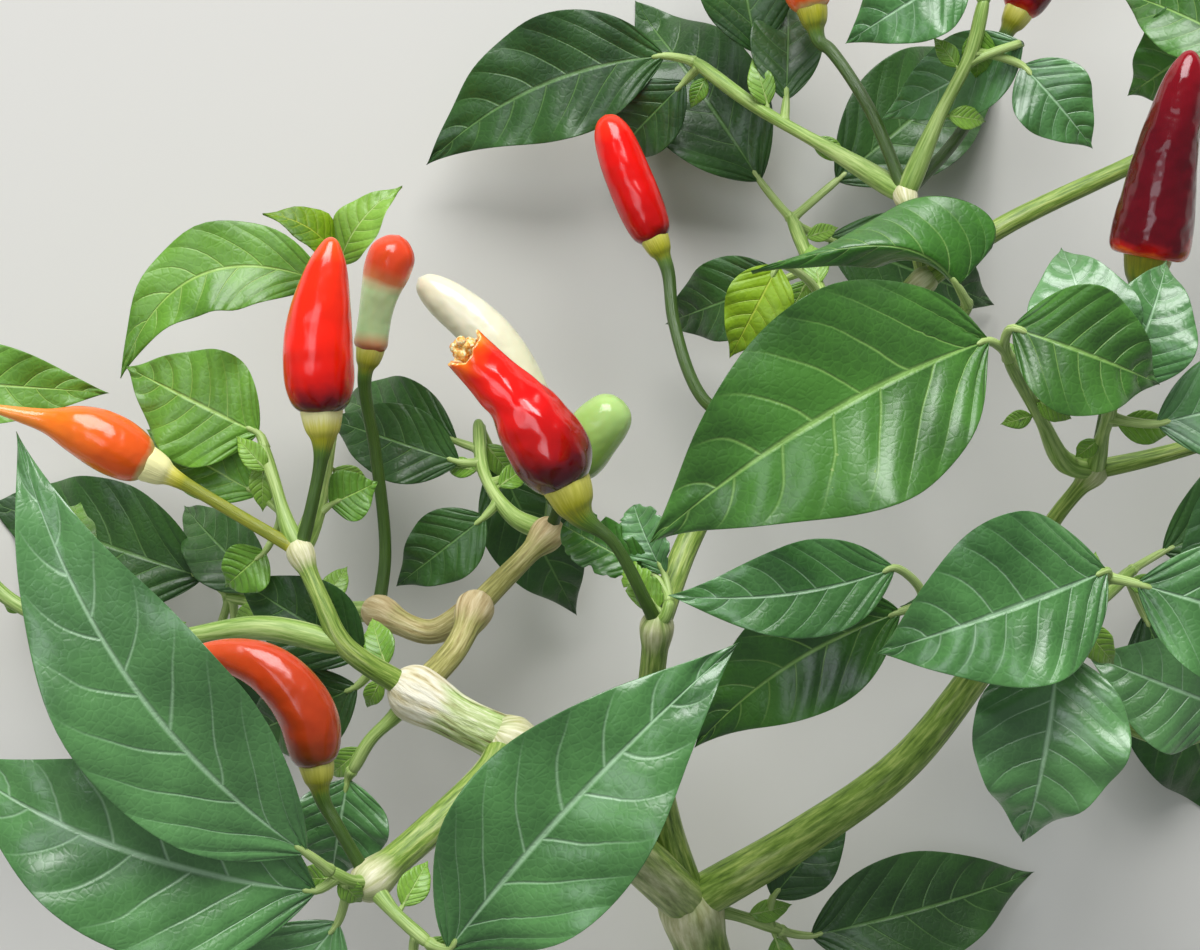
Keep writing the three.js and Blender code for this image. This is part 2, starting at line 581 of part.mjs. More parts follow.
// A leaf with its stalk, which sags a little from the twig and is sunk into the blade's midrib.
function wholeLeaf(part, twigCurve) {
  const { body, midrib } = blade(part);
  const foot = twigCurve.getPointAt(part.at);
  const neck = midrib.getPoint(0);
  const reach = foot.distanceTo(neck);
  const sag = foot.clone().lerp(neck, 0.5).addScaledVector(midrib.getTangent(0), -PETIOLE_SAG * reach);
  const sunk = midrib.getPoint(PETIOLE_SUNK / midrib.getLength());
  const way = throughPoints([foot, sag, neck, sunk]);
  const length = way.getLength();
  const profile = [[0, 0], [0, 1.2 * PETIOLE_RADIUS], [0.45 * length, PETIOLE_RADIUS]];
  profile.push([length - PETIOLE_SUNK, PETIOLE_RADIUS], [length, THINNEST_BLADE / 3], [length, 0]);
  return wasm.Manifold.union([body, turned(way, profile, PETIOLE_SIDES)]);
}

const boxesMeet = (a, b) => {
  const [p, q] = [a.boundingBox(), b.boundingBox()];
  return [0, 1, 2].every((i) => p.min[i] < q.max[i] && q.min[i] < p.max[i]);
};

// Cuts a body clear of the thickened bodies that it meets, and keeps its largest part.
function clearOf(body, others) {
  const near = [...others.values()].filter((other) => boxesMeet(body, other));
  const cut = near.reduce((rest, other) => rest.subtract(other), body);
  return cut.decompose().reduce((best, scrap) => (scrap.volume() > best.volume() ? scrap : best));
}

const touches = (a, b) => boxesMeet(a, b) && a.intersect(b).volume() > LEAST_TOUCH;

const branch = new THREE.Group();

function add(name, body, colour, roughness) {
  const { numProp, vertProperties, triVerts } = body.getMesh();
  const geometry = new THREE.BufferGeometry();
  geometry.setAttribute("position", new THREE.BufferAttribute(vertProperties, numProp));
  geometry.setIndex(new THREE.BufferAttribute(triVerts, 1));
  geometry.computeVertexNormals();
  const material = new THREE.MeshStandardMaterial({ color: colour, roughness, metalness: 0 });
  const mesh = new THREE.Mesh(geometry, material);
  mesh.name = name;
  branch.add(mesh);
}

// Limbs, each cut clear of those that it grows from.
const grown = new Map();
for (const [name, part] of Object.entries(LIMBS)) {
  add(name, clearOf(limb(part), grown), name === "corky_limb" ? "#cfc9a6" : "#7f9a45", 0.6);
  grown.set(name, limb(part, GAP));
}

// Fruits, and then their stalks, cut clear of the fruits and limbs.
for (const [name, part] of Object.entries(FRUITS)) {
  add(`fruit_${name}`, fruit(part), part.colour, 0.22);
  grown.set(`fruit_${name}`, fruit(part, GAP));
}
for (const [name, part] of Object.entries(FRUITS)) {
  add(`stalk_${name}`, clearOf(stalk(part), grown), "#8c9a3c", 0.55);
  grown.set(`stalk_${name}`, stalk(part, GAP));
}

// Sprays of leaves. A leaf that would touch a limb, a fruit or an earlier spray is skipped.
for (const [name, part] of Object.entries(SPRAYS)) {
  const way = curveThrough(part.twig);
  const length = way.getLength();
  const stations = Math.max(2, Math.round(length / TWIG_STATION));
  const profile = [[0, 0]];
  for (let i = 0; i <= stations; i++) {
    profile.push([(length * i) / stations, TWIG_RADIUS * (1 - (TWIG_TAPER * i) / stations)]);
  }
  profile.push([length, 0]);
  const twig = clearOf(turned(way, profile, TWIG_SIDES), grown);
  const leaves = [...part.leaves, ...youngLeaves(part)].map((each) => wholeLeaf(each, way));
  const room = leaves.filter((whole) => ![...grown.values()].some((other) => touches(whole, other)));
  const spray = wasm.Manifold.union([twig, ...room]);
  add(name, spray, "#4f8a3a", 0.5);
  grown.set(name, spray);
}

// The ground's origin is under the middle of the branch.
const box = new THREE.Box3().setFromObject(branch);
const middle = box.getCenter(new THREE.Vector3());
branch.position.set(-middle.x, -middle.y, -box.min.z);

export default branch;
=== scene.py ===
# %% [markdown]
# # A fruiting chili pepper branch
# The object is a branch cut from a chili bush: forked green stems with swollen pale joints, eleven
# small fruits that point up from flared stalks, and sprays of glossy leaves. It lies on its back on a
# pale floor, and the camera looks straight down on it. The solids of the construction model are
# loaded first as a fixed frame, and every surface made below is laid over one of them.

# %% Load the frame
import json
import math

import bpy
import numpy as np
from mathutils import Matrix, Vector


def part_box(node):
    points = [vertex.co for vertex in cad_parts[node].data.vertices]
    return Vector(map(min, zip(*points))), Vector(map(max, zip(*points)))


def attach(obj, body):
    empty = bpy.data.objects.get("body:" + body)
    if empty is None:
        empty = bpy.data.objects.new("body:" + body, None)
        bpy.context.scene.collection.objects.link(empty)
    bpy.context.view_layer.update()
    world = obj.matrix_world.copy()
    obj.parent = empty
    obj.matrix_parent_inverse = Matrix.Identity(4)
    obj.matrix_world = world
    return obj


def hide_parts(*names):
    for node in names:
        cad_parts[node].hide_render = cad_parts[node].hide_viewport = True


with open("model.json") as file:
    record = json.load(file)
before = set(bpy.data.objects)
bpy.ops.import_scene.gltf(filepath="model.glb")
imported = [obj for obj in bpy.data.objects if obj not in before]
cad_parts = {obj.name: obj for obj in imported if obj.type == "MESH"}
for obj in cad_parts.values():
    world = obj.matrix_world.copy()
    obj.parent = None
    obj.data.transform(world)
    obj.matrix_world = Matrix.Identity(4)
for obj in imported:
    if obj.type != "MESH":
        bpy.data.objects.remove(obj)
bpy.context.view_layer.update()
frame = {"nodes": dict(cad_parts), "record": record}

# %% [markdown]
# Everything is measured in millimetres and turned to metres when a mesh is made. A place on the
# branch is written as it is seen: x and y are read in the sharp plane, 62 mm above the floor, and
# drawn in towards the eye's line by their height. So a leaf held up to the eye stays where it is seen.

# %% Where things are
MM = 0.001
SIGHT_HEIGHT = 583
SHARP_HEIGHT = 62
CUT = [21, -94, 5.2]
MAIN_FORK = [14, -67, 26]
KNEE = [-14.4, -41.7, 66]
CORKY_FORK = [-29, -34, 63]
NEAR_FORK = [-36, -63.6, 86]
LEFT_FORK = [-46.9, -12, 64]
BACK_FORK = [-19.5, -20.8, 48]
FAR_FORK = [-8, -9, 38]
SHADE_FORK = [-34.7, -21.4, 38]
CENTRE_FORK = [8.9, -23.6, 60]
UPPER_FORK = [50.8, 30.5, 59]
TOP_FORK = [47.7, 43.8, 48]
RIGHT_FORK = [64, -24, 50]
SMALL_FORK = [77.3, 0.8, 63]
LEFT_BEND = [-40, -26.6, 67]
UPPER_BEND = [23.4, 7, 50]
UPPER_REACH = [37.4, 20, 55]
OUTER_TIP = [100, 57.3, 56]
RIGHT_TIP = [103.5, 8, 67]


def draw_in(places):
    """x and y times (eye height - z) / (eye height - sharp height), z as it is."""
    places = np.array(places, float)
    draw = (SIGHT_HEIGHT - places[..., 2:]) / (SIGHT_HEIGHT - SHARP_HEIGHT)
    return np.concatenate([places[..., :2] * draw, places[..., 2:]], axis=-1)


CUT_FACE = np.array(frame["record"]["mounts"][0]["pos_m"]) / MM
SHIFT = CUT_FACE - draw_in(CUT)


def place(places):
    """Places as seen, as points over the floor with its origin under the middle of the branch."""
    return draw_in(places) + SHIFT


print("the eye's line meets the floor at", SHIFT.round(2))

# %% [markdown]
# Stems, stalks and fruits all follow smooth paths through a few places. A centripetal Catmull-Rom
# spline is the natural choice: it passes through every place and never loops or overshoots between
# two that are close together.

# %% Smooth paths
# Shorter lengths and chords, in millimetres, count as these, so that nothing is divided by 0.
NO_LENGTH = 1e-9
SHORTEST_CHORD = 1e-6


def unit(vectors):
    """Each vector over its own length."""
    return vectors / np.maximum(np.linalg.norm(vectors, axis=-1, keepdims=True), NO_LENGTH)


def path_through(points, fineness=48):
    """Centripetal spline: on each stretch a cubic whose slopes weigh the chords by the root of their
    lengths. The points are kept with their distance along the path and their directions."""
    points = np.array(points, float)
    padded = np.vstack([2 * points[0] - points[1], points, 2 * points[-1] - points[-2]])
    before, here, there, after = padded[:-3], padded[1:-2], padded[2:-1], padded[3:]
    d0, d1, d2 = (
        np.sqrt(np.maximum(np.linalg.norm(q - p, axis=1, keepdims=True), SHORTEST_CHORD))
        for p, q in ((before, here), (here, there), (there, after))
    )
    leave = ((here - before) / d0 - (there - before) / (d0 + d1) + (there - here) / d1) * d1
    arrive = ((there - here) / d1 - (after - here) / (d1 + d2) + (after - there) / d2) * d1
    w = np.linspace(0, 1, fineness, endpoint=False)[None, :, None]
    start, end = here[:, None], there[:, None]
    leave, arrive = leave[:, None], arrive[:, None]
    cubic = start + leave * w + (3 * (end - start) - 2 * leave - arrive) * w**2
    cubic = cubic + (2 * (start - end) + leave + arrive) * w**3
    dense = np.vstack([cubic.reshape(-1, points.shape[1]), points[-1:]])
    run = np.concatenate([[0], np.cumsum(np.linalg.norm(np.diff(dense, axis=0), axis=1))])
    return {"run": run, "points": dense, "slopes": unit(np.gradient(dense, run, axis=0)), "length": run[-1]}


def along(way, distance):
    """Points and directions at distances along a path, which runs straight on past its ends."""
    distance = np.asarray(distance, float)
    inside = np.clip(distance, 0, way["length"])
    axes = range(way["points"].shape[1])
    points = np.stack([np.interp(inside, way["run"], way["points"][:, k]) for k in axes], axis=-1)
    slopes = unit(np.stack([np.interp(inside, way["run"], way["slopes"][:, k]) for k in axes], axis=-1))
    return points + (distance - inside)[..., None] * slopes, slopes


print("a test path is", round(path_through([[0, 0, 0], [10, 0, 0], [10, 10, 0]])["length"], 2), "mm long")

# %% [markdown]
# A round thing, whether a stem or a fruit, is a profile carried along such a path: distance along it
# and radius there. The section is measured from the axis that the path runs along least, so that it
# never spins.

# %% Profiles carried along paths
# An axis is only taken before one tried earlier if the path runs along it less by this much.
CLEARLY_LESS = 0.25
# How many times a flute sways to and fro along its tube, from and to.
SWAYS = (0.5, 2)


def section_axes(way, distance):
    """Centres, directions and the two axes of the section at each distance."""
    centres, slopes = along(way, distance)
    _, samples = along(way, np.array([0, 0.5, 1]) * way["length"])
    steady = None
    for axis in np.eye(3)[::-1]:
        slant = np.abs(samples @ axis).max()
        if steady is None or slant < steady[0] - CLEARLY_LESS:
            steady = (slant, axis)
    across = unit(np.cross(slopes, steady[1]))
    return centres, slopes, across, np.cross(across, slopes)


def round_surface(way, distance, radius, sides, slide=0):
    """Centre + radius * (cos a * across + sin a * over) + slide * direction. radius and slide may
    depend on the angle a as well as on the distance."""
    centres, slopes, across, over = section_axes(way, distance)
    angle = np.arange(sides) * math.tau / sides
    ring = np.cos(angle)[:, None] * across[:, None] + np.sin(angle)[:, None] * over[:, None]
    radius = np.broadcast_to(np.reshape(radius, (len(distance), -1)), (len(distance), sides))
    slide = np.broadcast_to(slide, radius.shape)
    return centres[:, None] + ring * radius[..., None] + slopes[:, None] * slide[..., None]


def smooth_profile(pairs, spacing):
    """Rows of a profile: a spline through [distance, radius] pairs, cut into even steps."""
    way = path_through(pairs)
    rows, _ = along(way, np.linspace(0, way["length"], max(8, round(way["length"] / spacing))))
    return rows[:, 0], np.maximum(rows[:, 1], 0)


def flutes(rows, sides, seed, count=5, turns=(2, 6), sway=1.5):
    """Soft ridges lengthwise round a tube: a mean of waves cos(k * a + phase + drift), with k whole so
    that they close, and each drifting slowly from row to row. Between -1 and 1."""
    random = np.random.default_rng(seed)
    angle = np.arange(sides) * math.tau / sides
    share = np.linspace(0, 1, rows)[:, None]
    waves = 0
    for k in random.integers(turns[0], turns[1] + 1, count):
        drift = sway * np.sin(math.tau * (share * random.uniform(*SWAYS) + random.random()))
        waves = waves + np.cos(k * angle + random.uniform(0, math.tau) + drift)
    return waves / count


print("a fluted ring of 8 sides:", flutes(2, 8, 1)[0].round(2))

# %% [markdown]
# Each surface is worked out as a grid of points, closed round its second direction and at both ends.
# The mesh keeps a UV map, with the share along the surface and the share across it, and one number
# per point called pale, which says how far the colour has turned from the plain one.

# %% Grids into meshes
def shell(points, across=None, slot=0, pale=0.0, share=None):
    """One closed surface of n rows of m points, ends closed to a point each."""
    rows, sides = points.shape[:2]
    across = np.arange(sides + 1) / sides if across is None else across
    share = np.linspace(0, 1, rows) if share is None else share
    corners = np.concatenate([points.reshape(-1, 3), points[:1].mean(1), points[-1:].mean(1)])
    i, j = (grid.ravel() for grid in np.meshgrid(np.arange(rows - 1), np.arange(sides), indexing="ij"))
    this, following, beside = i * sides, (i + 1) * sides, (j + 1) % sides
    quads = np.stack([this + j, following + j, following + beside, this + beside], axis=1)
    near, far, left, right = share[i], share[i + 1], across[j], across[j + 1]
    quad_uv = np.stack([near, left, far, left, far, right, near, right], axis=1)
    k = np.arange(sides)
    last = (rows - 1) * sides
    first_pole, last_pole = np.full(sides, rows * sides), np.full(sides, rows * sides + 1)
    fans = np.concatenate([
        np.stack([first_pole, k, (k + 1) % sides], axis=1),
        np.stack([last + k, last_pole, last + (k + 1) % sides], axis=1),
    ])
    middle = (across[:-1] + across[1:]) / 2
    first, end = np.full(sides, share[0]), np.full(sides, share[-1])
    fan_uv = np.concatenate([
        np.stack([first, middle, first, across[:-1], first, across[1:]], axis=1),
        np.stack([end, across[:-1], end, middle, end, across[1:]], axis=1),
    ])
    slots = np.broadcast_to(slot, (rows - 1, sides))
    tones = np.broadcast_to(pale, (rows, sides)).ravel()
    return {
        "corners": corners,
        "quads": quads,
        "fans": fans,
        "uv": np.concatenate([quad_uv.ravel(), fan_uv.ravel()]),
        "slots": np.concatenate([slots.ravel(), slots[0], slots[-1]]),
        "pale": np.concatenate([tones, tones[:1], tones[-1:]]),
    }


print("a grid of 3 rows of 4 points has", len(shell(np.zeros((3, 4, 3)))["quads"]), "four-sided faces")

# %% [markdown]
# A piece is one such surface, or several joined into one mesh. It sits at the origin, with its place
# in its points, and it rides on the branch and stands for one of the frame's solids.

# %% Pieces
def make_piece(name, shells, materials, node):
    """Joins shells into one mesh at the origin, smooth-shaded, riding on the branch. It stands for
    the solid named node, where one is named."""
    starts = np.cumsum([0] + [len(each["corners"]) for each in shells])
    keys = ("corners", "slots", "uv", "pale")
    joined = {key: np.concatenate([each[key] for each in shells]) for key in keys}
    indices, totals = [], []
    for start, each in zip(starts, shells):
        indices += [(each["quads"] + start).ravel(), (each["fans"] + start).ravel()]
        totals += [np.full(len(each["quads"]), 4), np.full(len(each["fans"]), 3)]
    indices, totals = np.concatenate(indices), np.concatenate(totals)
    mesh = bpy.data.meshes.new(name)
    mesh.vertices.add(len(joined["corners"]))
    mesh.vertices.foreach_set("co", (joined["corners"] * MM).ravel().astype(np.float32))
    mesh.loops.add(len(indices))
    mesh.loops.foreach_set("vertex_index", indices.astype(np.int32))
    mesh.polygons.add(len(totals))
    mesh.polygons.foreach_set("loop_start", (np.cumsum(totals) - totals).astype(np.int32))
    mesh.polygons.foreach_set("material_index", joined["slots"].astype(np.int32))
    mesh.polygons.foreach_set("use_smooth", np.ones(len(totals), bool))
    mesh.update(calc_edges=True)
    mesh.uv_layers.new(name="surface").uv.foreach_set("vector", joined["uv"].astype(np.float32))
    mesh.attributes.new("pale", "FLOAT", "POINT").data.foreach_set("value", joined["pale"].astype(np.float32))
    for material in materials:
        mesh.materials.append(material)
    piece = bpy.data.objects.new(name, mesh)
    bpy.context.scene.collection.objects.link(piece)
    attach(piece, "root")
    if node:
        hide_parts(node)


# %% [markdown]
# Materials are small node trees. One function gives a node's sockets their values and links, one adds
# such a node, and one turns the sRGB hex codes that a colour picker shows into the linear values that
# Blender wants.

# %% Colours and nodes
def colour(code):
    """sRGB hex to linear RGBA: each channel c becomes ((c + 0.055) / 1.055) ** 2.4, or c / 12.92 near
    black."""
    channels = np.array([int(code[i : i + 2], 16) for i in (1, 3, 5)]) / 255
    linear = np.where(channels <= 0.04045, channels / 12.92, ((channels + 0.055) / 1.055) ** 2.4)
    return (*linear.tolist(), 1.0)


def fill(tree, node, inputs):
    """Gives each socket a value, or links it to another node's output, which is the first one where
    the node itself is given."""
    for key, value in inputs.items():
        value = value.outputs[0] if isinstance(value, bpy.types.Node) else value
        if isinstance(value, bpy.types.NodeSocket):
            tree.links.new(value, node.inputs[key])
        else:
            node.inputs[key].default_value = value


def add_node(tree, kind, inputs=None, stops=None, **settings):
    """Adds one node with its settings and fills its inputs. stops are the positions and colours of a
    ramp."""
    node = tree.nodes.new(kind)
    for name, value in settings.items():
        setattr(node, name, value)
    fill(tree, node, inputs or {})
    if stops:
        elements = node.color_ramp.elements
        elements[0].position, elements[1].position = stops[0][0], stops[-1][0]
        for where, _ in stops[1:-1]:
            elements.new(where)
        for element, (_, code) in zip(elements, stops):
            element.color = colour(code)
    return node


def start_material(name):
    """A named material, its node tree and its Principled shader."""
    material = bpy.data.materials.new(name)
    material.use_nodes = True
    return material, material.node_tree, material.node_tree.nodes["Principled BSDF"]


# Kinds of node.
MATH, MIX, RAMP = "ShaderNodeMath", "ShaderNodeMix", "ShaderNodeValToRGB"
NOISE, BUMP, REMAP = "ShaderNodeTexNoise", "ShaderNodeBump", "ShaderNodeMapRange"
COORDINATES, UV_MAP, ATTRIBUTE = "ShaderNodeTexCoord", "ShaderNodeUVMap", "ShaderNodeAttribute"
print("leaf green is", [round(channel, 3) for channel in colour("#3c6b2a")])

# %% [markdown]
# Young chili stems are green and smooth with fine pale streaks. Older ones turn corky: cream ridges
# split by tan cracks, all lengthwise. A stretched noise gives both. It is read on a cylinder, from
# the sine and cosine of the angle round the stem, so that it has no seam.

# %% Bark
# A step of one along the UV map of a stem, in millimetres.
UV_STEP = 10
# On that cylinder, whose radius is 1, this stretch makes the streaks about 5 mm long and leaves some
# 28 of them round the stem. Patches where the bark has aged more are nearly three times as large.
STREAK_STRETCH = 0.42
STREAK_SCALE = 4.5
PATCH_SCALE = 1.7
# The bark is plain where pale and patchiness add up to the first, and aged past the second.
AGED_FROM, AGED_TO = 0.6, 1.15


def bark(name, greens, pales, roughness, relief):
    """Streaked bark. greens and pales are ramps for the plain colour and for the pale places, and
    relief is the height of the streaks in metres."""
    material, tree, shader = start_material(name)
    parts = add_node(tree, "ShaderNodeSeparateXYZ", {0: add_node(tree, UV_MAP, uv_map="surface")})
    turn = add_node(tree, MATH, {0: parts.outputs["Y"], 1: math.tau}, operation="MULTIPLY")
    cosine = add_node(tree, MATH, {0: turn}, operation="COSINE")
    sine = add_node(tree, MATH, {0: turn}, operation="SINE")
    length = add_node(tree, MATH, {0: parts.outputs["X"], 1: STREAK_STRETCH}, operation="MULTIPLY")
    around = add_node(tree, "ShaderNodeCombineXYZ", {0: cosine, 1: sine, 2: length})
    streaks = add_node(tree, NOISE, {"Vector": around, "Scale": STREAK_SCALE, "Detail": 6, "Roughness": 0.6})
    plain = add_node(tree, RAMP, {0: streaks}, stops=greens)
    aged = add_node(tree, RAMP, {0: streaks}, stops=pales)
    patches = add_node(tree, NOISE, {"Vector": around, "Scale": PATCH_SCALE, "Detail": 3})
    pale = add_node(tree, ATTRIBUTE, attribute_name="pale")
    uneven = add_node(tree, MATH, {0: pale.outputs["Fac"], 1: patches}, operation="ADD")
    share = add_node(tree, REMAP, {0: uneven, 1: AGED_FROM, 2: AGED_TO})
    tint = add_node(tree, MIX, {0: share, 6: plain, 7: aged}, data_type="RGBA")
    height = add_node(tree, BUMP, {"Height": streaks, "Distance": relief, "Strength": 0.8})
    fill(tree, shader, {"Base Color": tint.outputs[2], "Normal": height, "Roughness": roughness, "IOR": 1.45})
    return material


# Soft green bark: a waxy skin, so it has a low gloss.
green_bark = bark(
    "soft green bark",
    [(0.32, "#4a6620"), (0.5, "#78963a"), (0.68, "#a9bb62")],
    [(0.35, "#b4b478"), (0.55, "#d8d6ac"), (0.7, "#ece8cc")],
    0.42, 0.00025,
)
# Olive bark on shaded limbs: the same skin, dusty and browner, with tan swollen joints.
olive_bark = bark(
    "dusty olive bark",
    [(0.32, "#6c6b31"), (0.5, "#98964f"), (0.68, "#bdb777")],
    [(0.35, "#a88f5e"), (0.55, "#cbb98a"), (0.7, "#e2d6ae")],
    0.6, 0.0003,
)
# Corky bark: dry cream ridges over green, split by tan cracks, so it is matt.
corky_bark = bark(
    "corky bark",
    [(0.32, "#5a5a2a"), (0.42, "#7d9a46"), (0.54, "#aec678"), (0.68, "#e2e4c0")],
    [(0.3, "#9c8656"), (0.42, "#cfc69c"), (0.6, "#eae6cf")],
    0.68, 0.0006,
)
print("bark finishes:", [each.name for each in (green_bark, olive_bark, corky_bark)])

# %% [markdown]
# A chili bush forks in two again and again. Each limb runs from one fork to the next through a place
# or two between them, so the limbs meet without being fitted to each other.

# %% The limbs' paths
# Each limb's path, its radius at the foot and before the joint, and the joint's.
LIMBS = {
    "main_stem": dict(path=[CUT, [18, -82, 13], MAIN_FORK], radius=[5.6, 4.6], knob=5.4),
    "left_bough": dict(path=[MAIN_FORK, [3, -57, 44], [-6.3, -47.7, 58], KNEE], radius=[4, 3.7], knob=4.3),
    "centre_bough": dict(
        path=[MAIN_FORK, [10, -54, 36], [7.8, -38.3, 50], CENTRE_FORK], radius=[3, 2.1], knob=2.7
    ),
    "right_bough": dict(
        path=[MAIN_FORK, [31, -57, 32], [47.5, -45, 38], RIGHT_FORK], radius=[3.6, 2.6], knob=3.2
    ),
    "corky_limb": dict(path=[KNEE, [-21, -38.6, 65], CORKY_FORK], radius=[3.7, 3.5], knob=4.4),
    "near_limb": dict(
        path=[KNEE, [-17, -46.4, 71], [-26.6, -55.5, 79], NEAR_FORK], radius=[2.7, 2.4], knob=3.2
    ),
    "left_limb": dict(
        path=[CORKY_FORK, LEFT_BEND, [-43.6, -19.5, 66.4], LEFT_FORK], radius=[1.9, 1.4], knob=2.2
    ),
    "back_limb": dict(path=[CORKY_FORK, [-22.7, -27.3, 55], BACK_FORK], radius=[2.1, 2], knob=3.1),
    "far_limb": dict(path=[BACK_FORK, [-14, -15.2, 43], FAR_FORK], radius=[1.9, 1.7], knob=2.8),
    "shade_limb": dict(path=[BACK_FORK, [-26.5, -24.5, 43], SHADE_FORK], radius=[2.2, 2], knob=2.9),
    "upper_limb": dict(
        path=[CENTRE_FORK, [14, -10, 50], UPPER_BEND, UPPER_REACH, UPPER_FORK], radius=[2, 1.7], knob=2.2
    ),
    "outer_limb": dict(
        path=[UPPER_FORK, [62.5, 38.6, 58], [84.4, 49.2, 54], OUTER_TIP], radius=[1.7, 1.3], knob=1.6
    ),
    "top_limb": dict(path=[UPPER_FORK, TOP_FORK], radius=[1.3, 1.2], knob=2),
    "low_right_limb": dict(path=[RIGHT_FORK, [70, -8.5, 58], SMALL_FORK], radius=[1.6, 1.3], knob=2.3),
    "right_limb": dict(
        path=[SMALL_FORK, [86, 2.7, 64], [96, 5.5, 66], RIGHT_TIP], radius=[1.5, 1.1], knob=1.4
    ),
}
lengths = [path_through(place(part["path"]))["length"] for part in LIMBS.values()]
print("the limbs are", round(min(lengths), 1), "to", round(max(lengths), 1), "mm long")

# %% [markdown]
# Each limb tapers to its far end and swells there into the joint that the next ones grow from. The
# ridges are moved in the mesh itself, because they catch the light, and the finer streaks are left
# to the material. The cut end of the main stem stays flat.

# %% Limbs
# The bark of each limb that isn't plain green, the height of its ridges over its radius, and how pale
# its joint and its length are.
LIMB_LOOKS = {
    "corky_limb": (corky_bark, 0.07, 1.0, 0.22),
    "left_bough": (green_bark, 0.05, 0.8, 0.2),
    "near_limb": (green_bark, 0.03, 0.6, 0.1),
    "back_limb": (olive_bark, 0.04, 0.8, 0.1),
    "far_limb": (olive_bark, 0.04, 0.6, 0.05),
    "shade_limb": (olive_bark, 0.04, 1.0, 0.3),
    "main_stem": (green_bark, 0.04, 0.5, 0.15),
    "left_limb": (green_bark, 0.03, 1.0, 0.0),
    "top_limb": (green_bark, 0.02, 1.0, 0.0),
}
PLAIN_LOOKS = (green_bark, 0.02, 0.45, 0.0)
# Before the limb's end, in radii of its joint: how far it has swollen. Past it: how round it ends.
SWELL = [[-1.6, 0.08], [-1.1, 0.45], [-0.5, 0.93], [0.1, 1]]
KNOB_END = [[0.55, 0.8], [0.85, 0.45], [0.92, 0]]
# The cut edge of a limb's foot is eased off by this share of its radius over this distance.
EASED, EASED_OVER = 0.03, 0.3
# The distance between the rows of a limb.
LIMB_STEP = 0.55
# Sides of a limb's section above and below this radius.
THICK_LIMB, THICK_SIDES, THIN_SIDES = 2.5, 48, 32


def bark_limb(name, part, seed):
    """A tapering tube: profile through the taper, the swelling and the blunt end, times 1 + ridges."""
    way = path_through(place(part["path"]))
    length, knob = way["length"], part["knob"]
    thick, thin = part["radius"]
    even = length + SWELL[0][0] * knob
    pairs = [[0, 0], [0, thick * (1 - EASED)], [EASED_OVER, thick], [even / 2, (thick + thin) / 2]]
    pairs += [[length + away * knob, thin + (knob - thin) * share] for away, share in SWELL]
    pairs += [[length + away * knob, knob * share] for away, share in KNOB_END]
    distance, radius = smooth_profile(pairs, LIMB_STEP)
    material, ridge, joint_pale, body_pale = LIMB_LOOKS.get(name, PLAIN_LOOKS)
    sides = THICK_SIDES if thick > THICK_LIMB else THIN_SIDES
    ridges = flutes(len(distance), sides, seed, count=7, turns=(4, 13))
    off_the_cut = np.clip(distance / 2, 0, 1)[:, None]
    surface = round_surface(way, distance, radius[:, None] * (1 + ridge * ridges * off_the_cut), sides)
    near_joint = np.clip(1.2 - np.abs(distance - length) / (1.5 * knob), 0, 1)
    near_foot = np.clip(0.7 - distance / (2 * thick), 0, 1)
    pale = np.maximum(joint_pale * near_joint, np.maximum(body_pale, 0.5 * near_foot))[:, None]
    coat = shell(surface, pale=pale, share=distance / UV_STEP)
    make_piece(f"bark_{name}", [coat], [material], name)


for seed, (name, part) in enumerate(LIMBS.items()):
    bark_limb(name, part, seed)
print(len(LIMBS), "limbs of bark")

# %% [markdown]
# A chili's skin is thin, waxy and very smooth, so it mirrors the light in small bright patches that
# dents break up. The colour turns along the fruit as it ripens, and this is a ramp along the UV map
# with a little noise in it. The shader is a plain one with a low roughness, a thin clear coat for the
# wax and a touch of subsurface scattering for the juicy flesh.

# %% Fruit skins
# Blotches of about 6 mm.
BLOTCH_SCALE = 160


def fruit_skin(name, stops, roughness=0.25, dents=0.0006, fineness=330, blotchy=0.14, coat=0.4, dull=0.06):
    """Waxy skin: stops are the colours from the calyx to the tip, dents the depth of its dents in
    metres, fineness how many of them fit in a metre, blotchy how far the colours stray, coat the
    weight of the wax and dull its roughness."""
    material, tree, shader = start_material(name)
    parts = add_node(tree, "ShaderNodeSeparateXYZ", {0: add_node(tree, UV_MAP, uv_map="surface")})
    where = add_node(tree, COORDINATES).outputs["Object"]
    blotches = add_node(tree, NOISE, {"Vector": where, "Scale": BLOTCH_SCALE, "Detail": 3})
    drift = add_node(tree, REMAP, {0: blotches, 3: -blotchy, 4: blotchy})
    ripeness = add_node(tree, MATH, {0: parts.outputs["X"], 1: drift}, operation="ADD")
    tint = add_node(tree, RAMP, {0: ripeness}, stops=stops)
    wrinkles = add_node(tree, NOISE, {"Vector": where, "Scale": fineness, "Detail": 1})
    height = add_node(tree, BUMP, {"Height": wrinkles, "Distance": dents, "Strength": 0.6})
    fill(tree, shader, {"Base Color": tint, "Normal": height, "Roughness": roughness, "IOR": 1.4})
    fill(tree, shader, {"Coat Weight": coat, "Coat Roughness": dull})
    fill(tree, shader, {"Subsurface Weight": 0.12, "Subsurface Scale": 0.0012})
    return material


# %% [markdown]
# The chilies ripen from green or ivory over orange to red, and past that to a deep crimson. Each skin
# has its own stops of colour from the calyx to the tip, and the ripest are the glossiest.

